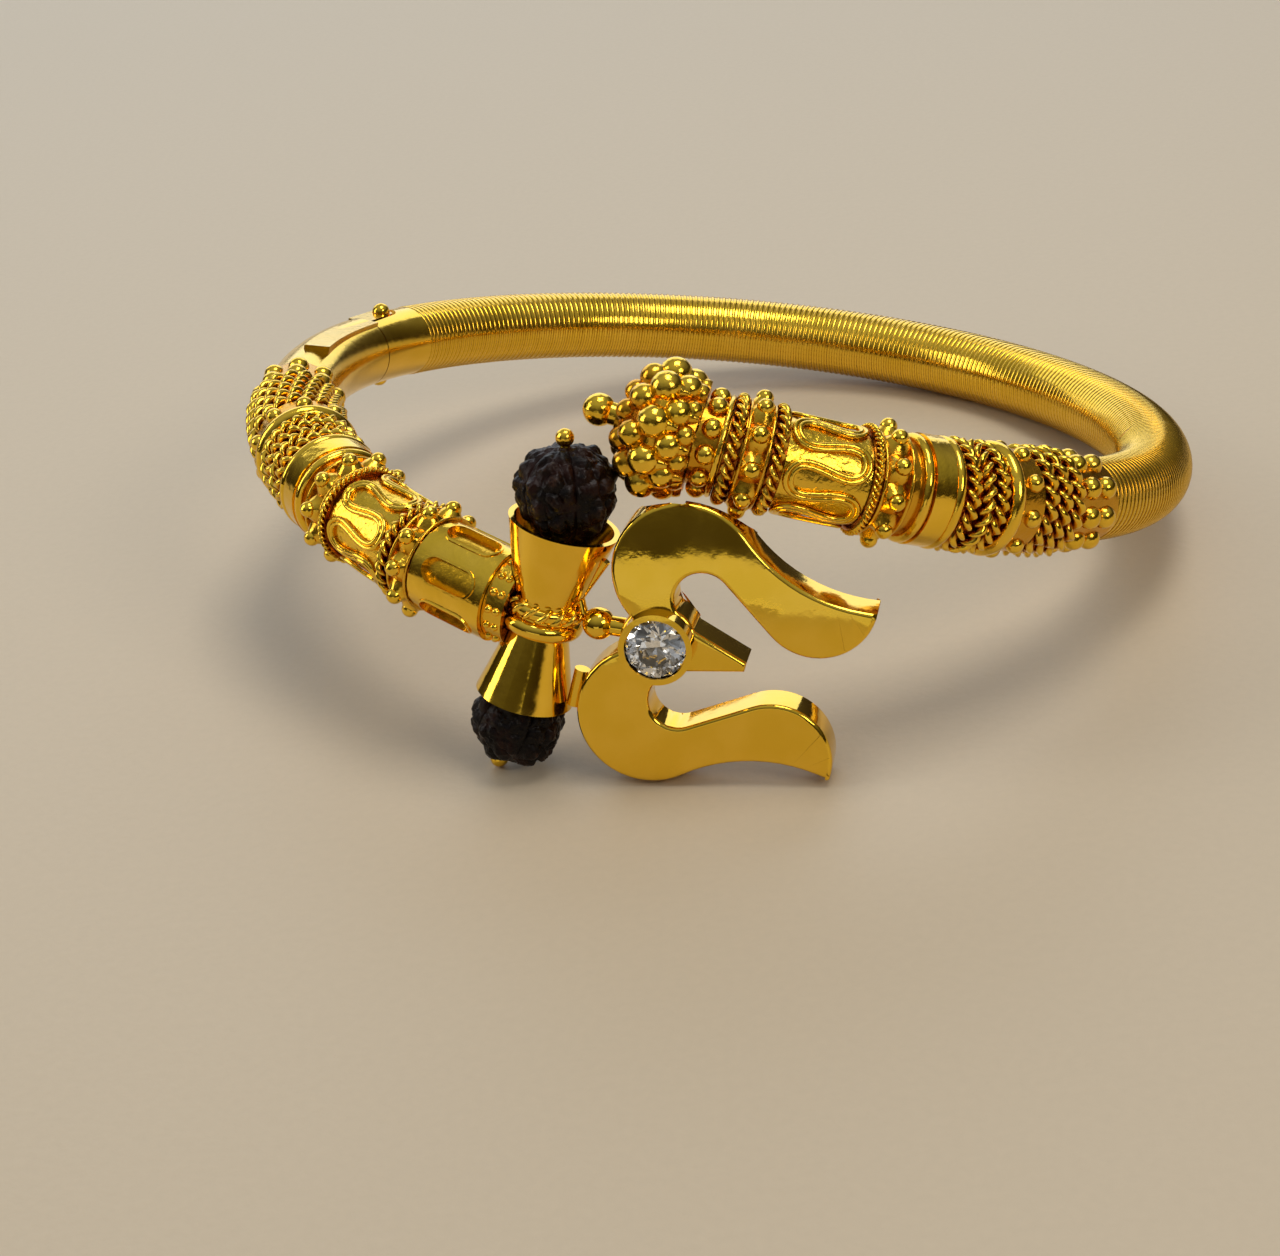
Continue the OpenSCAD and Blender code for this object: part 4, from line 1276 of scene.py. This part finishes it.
@dataclass
class SolidDressing:
    """Dresses the solids that are shown as they are."""

    nodes: dict[str, bpy.types.Object]

    def dress(self, names: Iterable[str], finish: Gold) -> None:
        """Dress several solids in one finish.

        Args:
            names: Names of the solids.
            finish: The gold that they share.
        """
        material = finish.material()
        for name in names:
            dress(self.nodes[name], material)
            LOG.info("%s in %s", name, finish.name)

    def build(self) -> None:
        """Dress every solid."""
        # Each recess paints shade into the hollows between the ornaments
        for side, arm in (("right", RIGHT), ("left", LEFT)):
            self.dress([f"{side}_double_granule_collar"],
                       Gold(f"gold granules {side}", recess=RecessShade(arm, 3.0, 3.5)))
            self.dress([f"{side}_granule_collar"],
                       Gold(f"gold large granules {side}", recess=RecessShade(arm, 3.55, 3.95)))
            self.dress([f"{side}_stud_collar_a", f"{side}_stud_collar_b"],
                       Gold(f"gold studs {side}", recess=RecessShade(arm, 3.3, 4.0)))
            self.dress([f"{side}_ring_set", f"{side}_plain_ring"],
                       Gold(f"gold rings {side}", marks=0.05, mark_size=0.9,
                            recess=RecessShade(arm, 3.2, 3.7)))
            self.dress([f"{side}_wave_barrel"],
                       Gold(f"gold hammered barrel {side}", marks=0.09, mark_size=0.5,
                            polish=(0.12, 0.26), recess=RecessShade(arm, 2.6, 3.0)))
        self.dress(["berry_cap"], Gold("gold berries", recess=RecessShade(RIGHT, 3.6, 4.5)))
        self.dress(["right_petal_ring"], Gold("gold petals", recess=RecessShade(RIGHT, 3.0, 3.5)))
        # The slots are painted only a little deeper, an orange gold for shade filled with light
        # bounced between gold surfaces
        self.dress(["slotted_barrel"],
                   Gold("gold slotted barrel", marks=0.05, deep=(0.84, 0.48, 0.03),
                        recess=RecessShade(LEFT, 2.9, 3.3)))
        self.dress(["small_granule_collar"],
                   Gold("gold small granules", recess=RecessShade(LEFT, 2.7, 3.2)))
        self.dress(["wound_tube", "hinge_sleeve"],
                   Gold("gold tube", polish=(0.12, 0.22), marks=0.01, mark_size=0.4))
        self.dress(["hinge_pin", "ball_finial", "top_bead_pin", "bottom_bead_pin"],
                   Gold("gold balls"))
        self.dress(["damru"], Gold("gold drum", polish=(0.06, 0.14), marks=0.02,
                                   mark_size=1.4))
        dress(self.nodes["stone"], ClearStone("clear stone").material())


# Floor, lights and camera


@dataclass(frozen=True)
class Softbox:
    """A soft studio light: its place and size in metres, and its power in watts."""

    name: str
    place: Triple
    size: tuple[float, float]
    power: float
    colour: Triple = (1.0, 1.0, 1.0)

    def build(self, aim: Vector) -> None:
        """Hang the light and turn it to a point.

        Args:
            aim: The point, in metres.
        """
        light = bpy.data.lights.new(self.name, "AREA")
        light.shape = "RECTANGLE"
        light.size, light.size_y = self.size
        light.energy = self.power
        light.color = self.colour
        lamp = in_scene(self.name, light)
        lamp.location = self.place
        lamp.rotation_euler = (aim - Vector(self.place)).to_track_quat("-Z", "Y").to_euler()


@dataclass
class Studio:
    """The floor, the lights and the camera.

    The eye is in millimetres, the lens and the film in the camera's own, and the floor, the
    point that the lights face and their places in metres.
    """

    eye: Triple = (4.811, -181.19, 88.5275)
    ahead: Triple = (-0.064503, 0.88236, -0.466126)
    up: Triple = (0.075867, 0.470058, 0.879403)
    lens: float = 67.5
    film: float = 36.0
    floor_size: float = 4.0
    floor_drop: float = 0.00002
    aim: Triple = (0.0, -0.01, 0.01)
    low_glow: Triple = (0.035, 0.025, 0.015)
    middle_glow: Triple = (0.10, 0.09, 0.07)
    middle_at: float = 0.3
    high_glow: Triple = (0.62, 0.66, 0.70)
    glow: float = 0.7
    lights: tuple[Softbox, ...] = field(default_factory=lambda: (
        Softbox("window", (-0.12, 0.60, 0.26), (0.9, 0.46), 1.9, (0.84, 0.92, 1.0)),
        Softbox("side", (-0.42, -0.02, 0.22), (0.16, 0.30), 0.5, (1.0, 0.97, 0.92)),
        Softbox("front fill", (0.30, -0.34, 0.30), (0.2, 0.14), 0.55, (1.0, 0.90, 0.76)),
        Softbox("top", (0.1, 0.0, 0.5), (0.25, 0.18), 0.95, (1.0, 0.95, 0.88)),
        Softbox("low front card", (-0.17, -0.62, 0.06), (0.36, 0.12), 0.08, (1.0, 0.98, 0.92)),
    ))

    def floor(self) -> None:
        """Lay the floor."""
        put_down()
        bpy.ops.mesh.primitive_plane_add(size=self.floor_size,
                                         location=(0.0, 0.0, -self.floor_drop))
        floor = bpy.context.active_object
        floor.name = "floor"
        bpy.ops.object.mode_set(mode="EDIT")
        bpy.ops.mesh.subdivide(number_cuts=3)
        put_down()
        dress(floor, PaleFloor("pale floor").material())

    def camera(self) -> None:
        """Set the camera at the viewing angle."""
        data = bpy.data.cameras.new("camera")
        data.lens = self.lens
        data.sensor_width = self.film
        data.clip_start = 0.01
        camera = in_scene("camera", data)
        ahead = Vector(self.ahead).normalized()
        right = ahead.cross(Vector(self.up)).normalized()
        up = right.cross(ahead)
        turned = Matrix((right, up, -ahead)).transposed().to_4x4()
        camera.matrix_world = Matrix.Translation(Vector(self.eye) * MM) @ turned
        bpy.context.scene.camera = camera

    def surroundings(self) -> None:
        """Give the room a soft grey light that is brighter above."""
        world = bpy.data.worlds.new("room")
        bpy.context.scene.world = world
        world.use_nodes = True
        tree = world.node_tree
        back = tree.nodes["Background"]
        place = tree.nodes.new("ShaderNodeTexCoord")
        axes = tree.nodes.new("ShaderNodeSeparateXYZ")
        ramp = tree.nodes.new("ShaderNodeValToRGB")
        tree.links.new(place.outputs["Generated"], axes.inputs[0])
        tree.links.new(axes.outputs["Z"], ramp.inputs[0])
        tree.links.new(ramp.outputs[0], back.inputs["Color"])
        stops = ramp.color_ramp.elements
        stops[0].color = rgb(*self.low_glow)
        stops[1].color = rgb(*self.high_glow)
        stops.new(self.middle_at).color = rgb(*self.middle_glow)
        back.inputs["Strength"].default_value = self.glow

    def build(self) -> None:
        """Build the whole studio."""
        self.camera()
        self.floor()
        self.surroundings()
        for light in self.lights:
            light.build(Vector(self.aim))
        bpy.context.scene.view_settings.view_transform = "Standard"
        LOG.info("studio with %d lights", len(self.lights))


def main() -> None:
    """Build the studio, the finishes of the solids and the new pieces in order."""
    logging.basicConfig(level=logging.INFO, format="%(name)s: %(message)s")
    Studio().build()
    SolidDressing(frame["nodes"]).build()
    WoundTube().build()
    ArmWork("right", RIGHT, Body.KADA, rows=(3, 3), phase=1.0).build()
    ArmWork("left", LEFT, Body.SWING_ARM, rows=(5, 4), phase=-20.0).build()
    drum = Damru()
    drum.build(Gold("gold waist rope").material())
    plate = SwollenGold("gold plate", polish=(0.05, 0.12), marks=0.04, mark_size=3.5)
    TridentPlate().build(frame["nodes"]["trident"], plate.material())
    shell = SeedShell("dark rudraksha shell").material()
    for node, cup, seed in (("top_rudraksha", drum.top, 3.1),
                            ("bottom_rudraksha", drum.bottom, 8.4)):
        Rudraksha(node, cup.bead, drum.bead_place(cup), seed).build(shell)


if __name__ == "__main__":
    main()
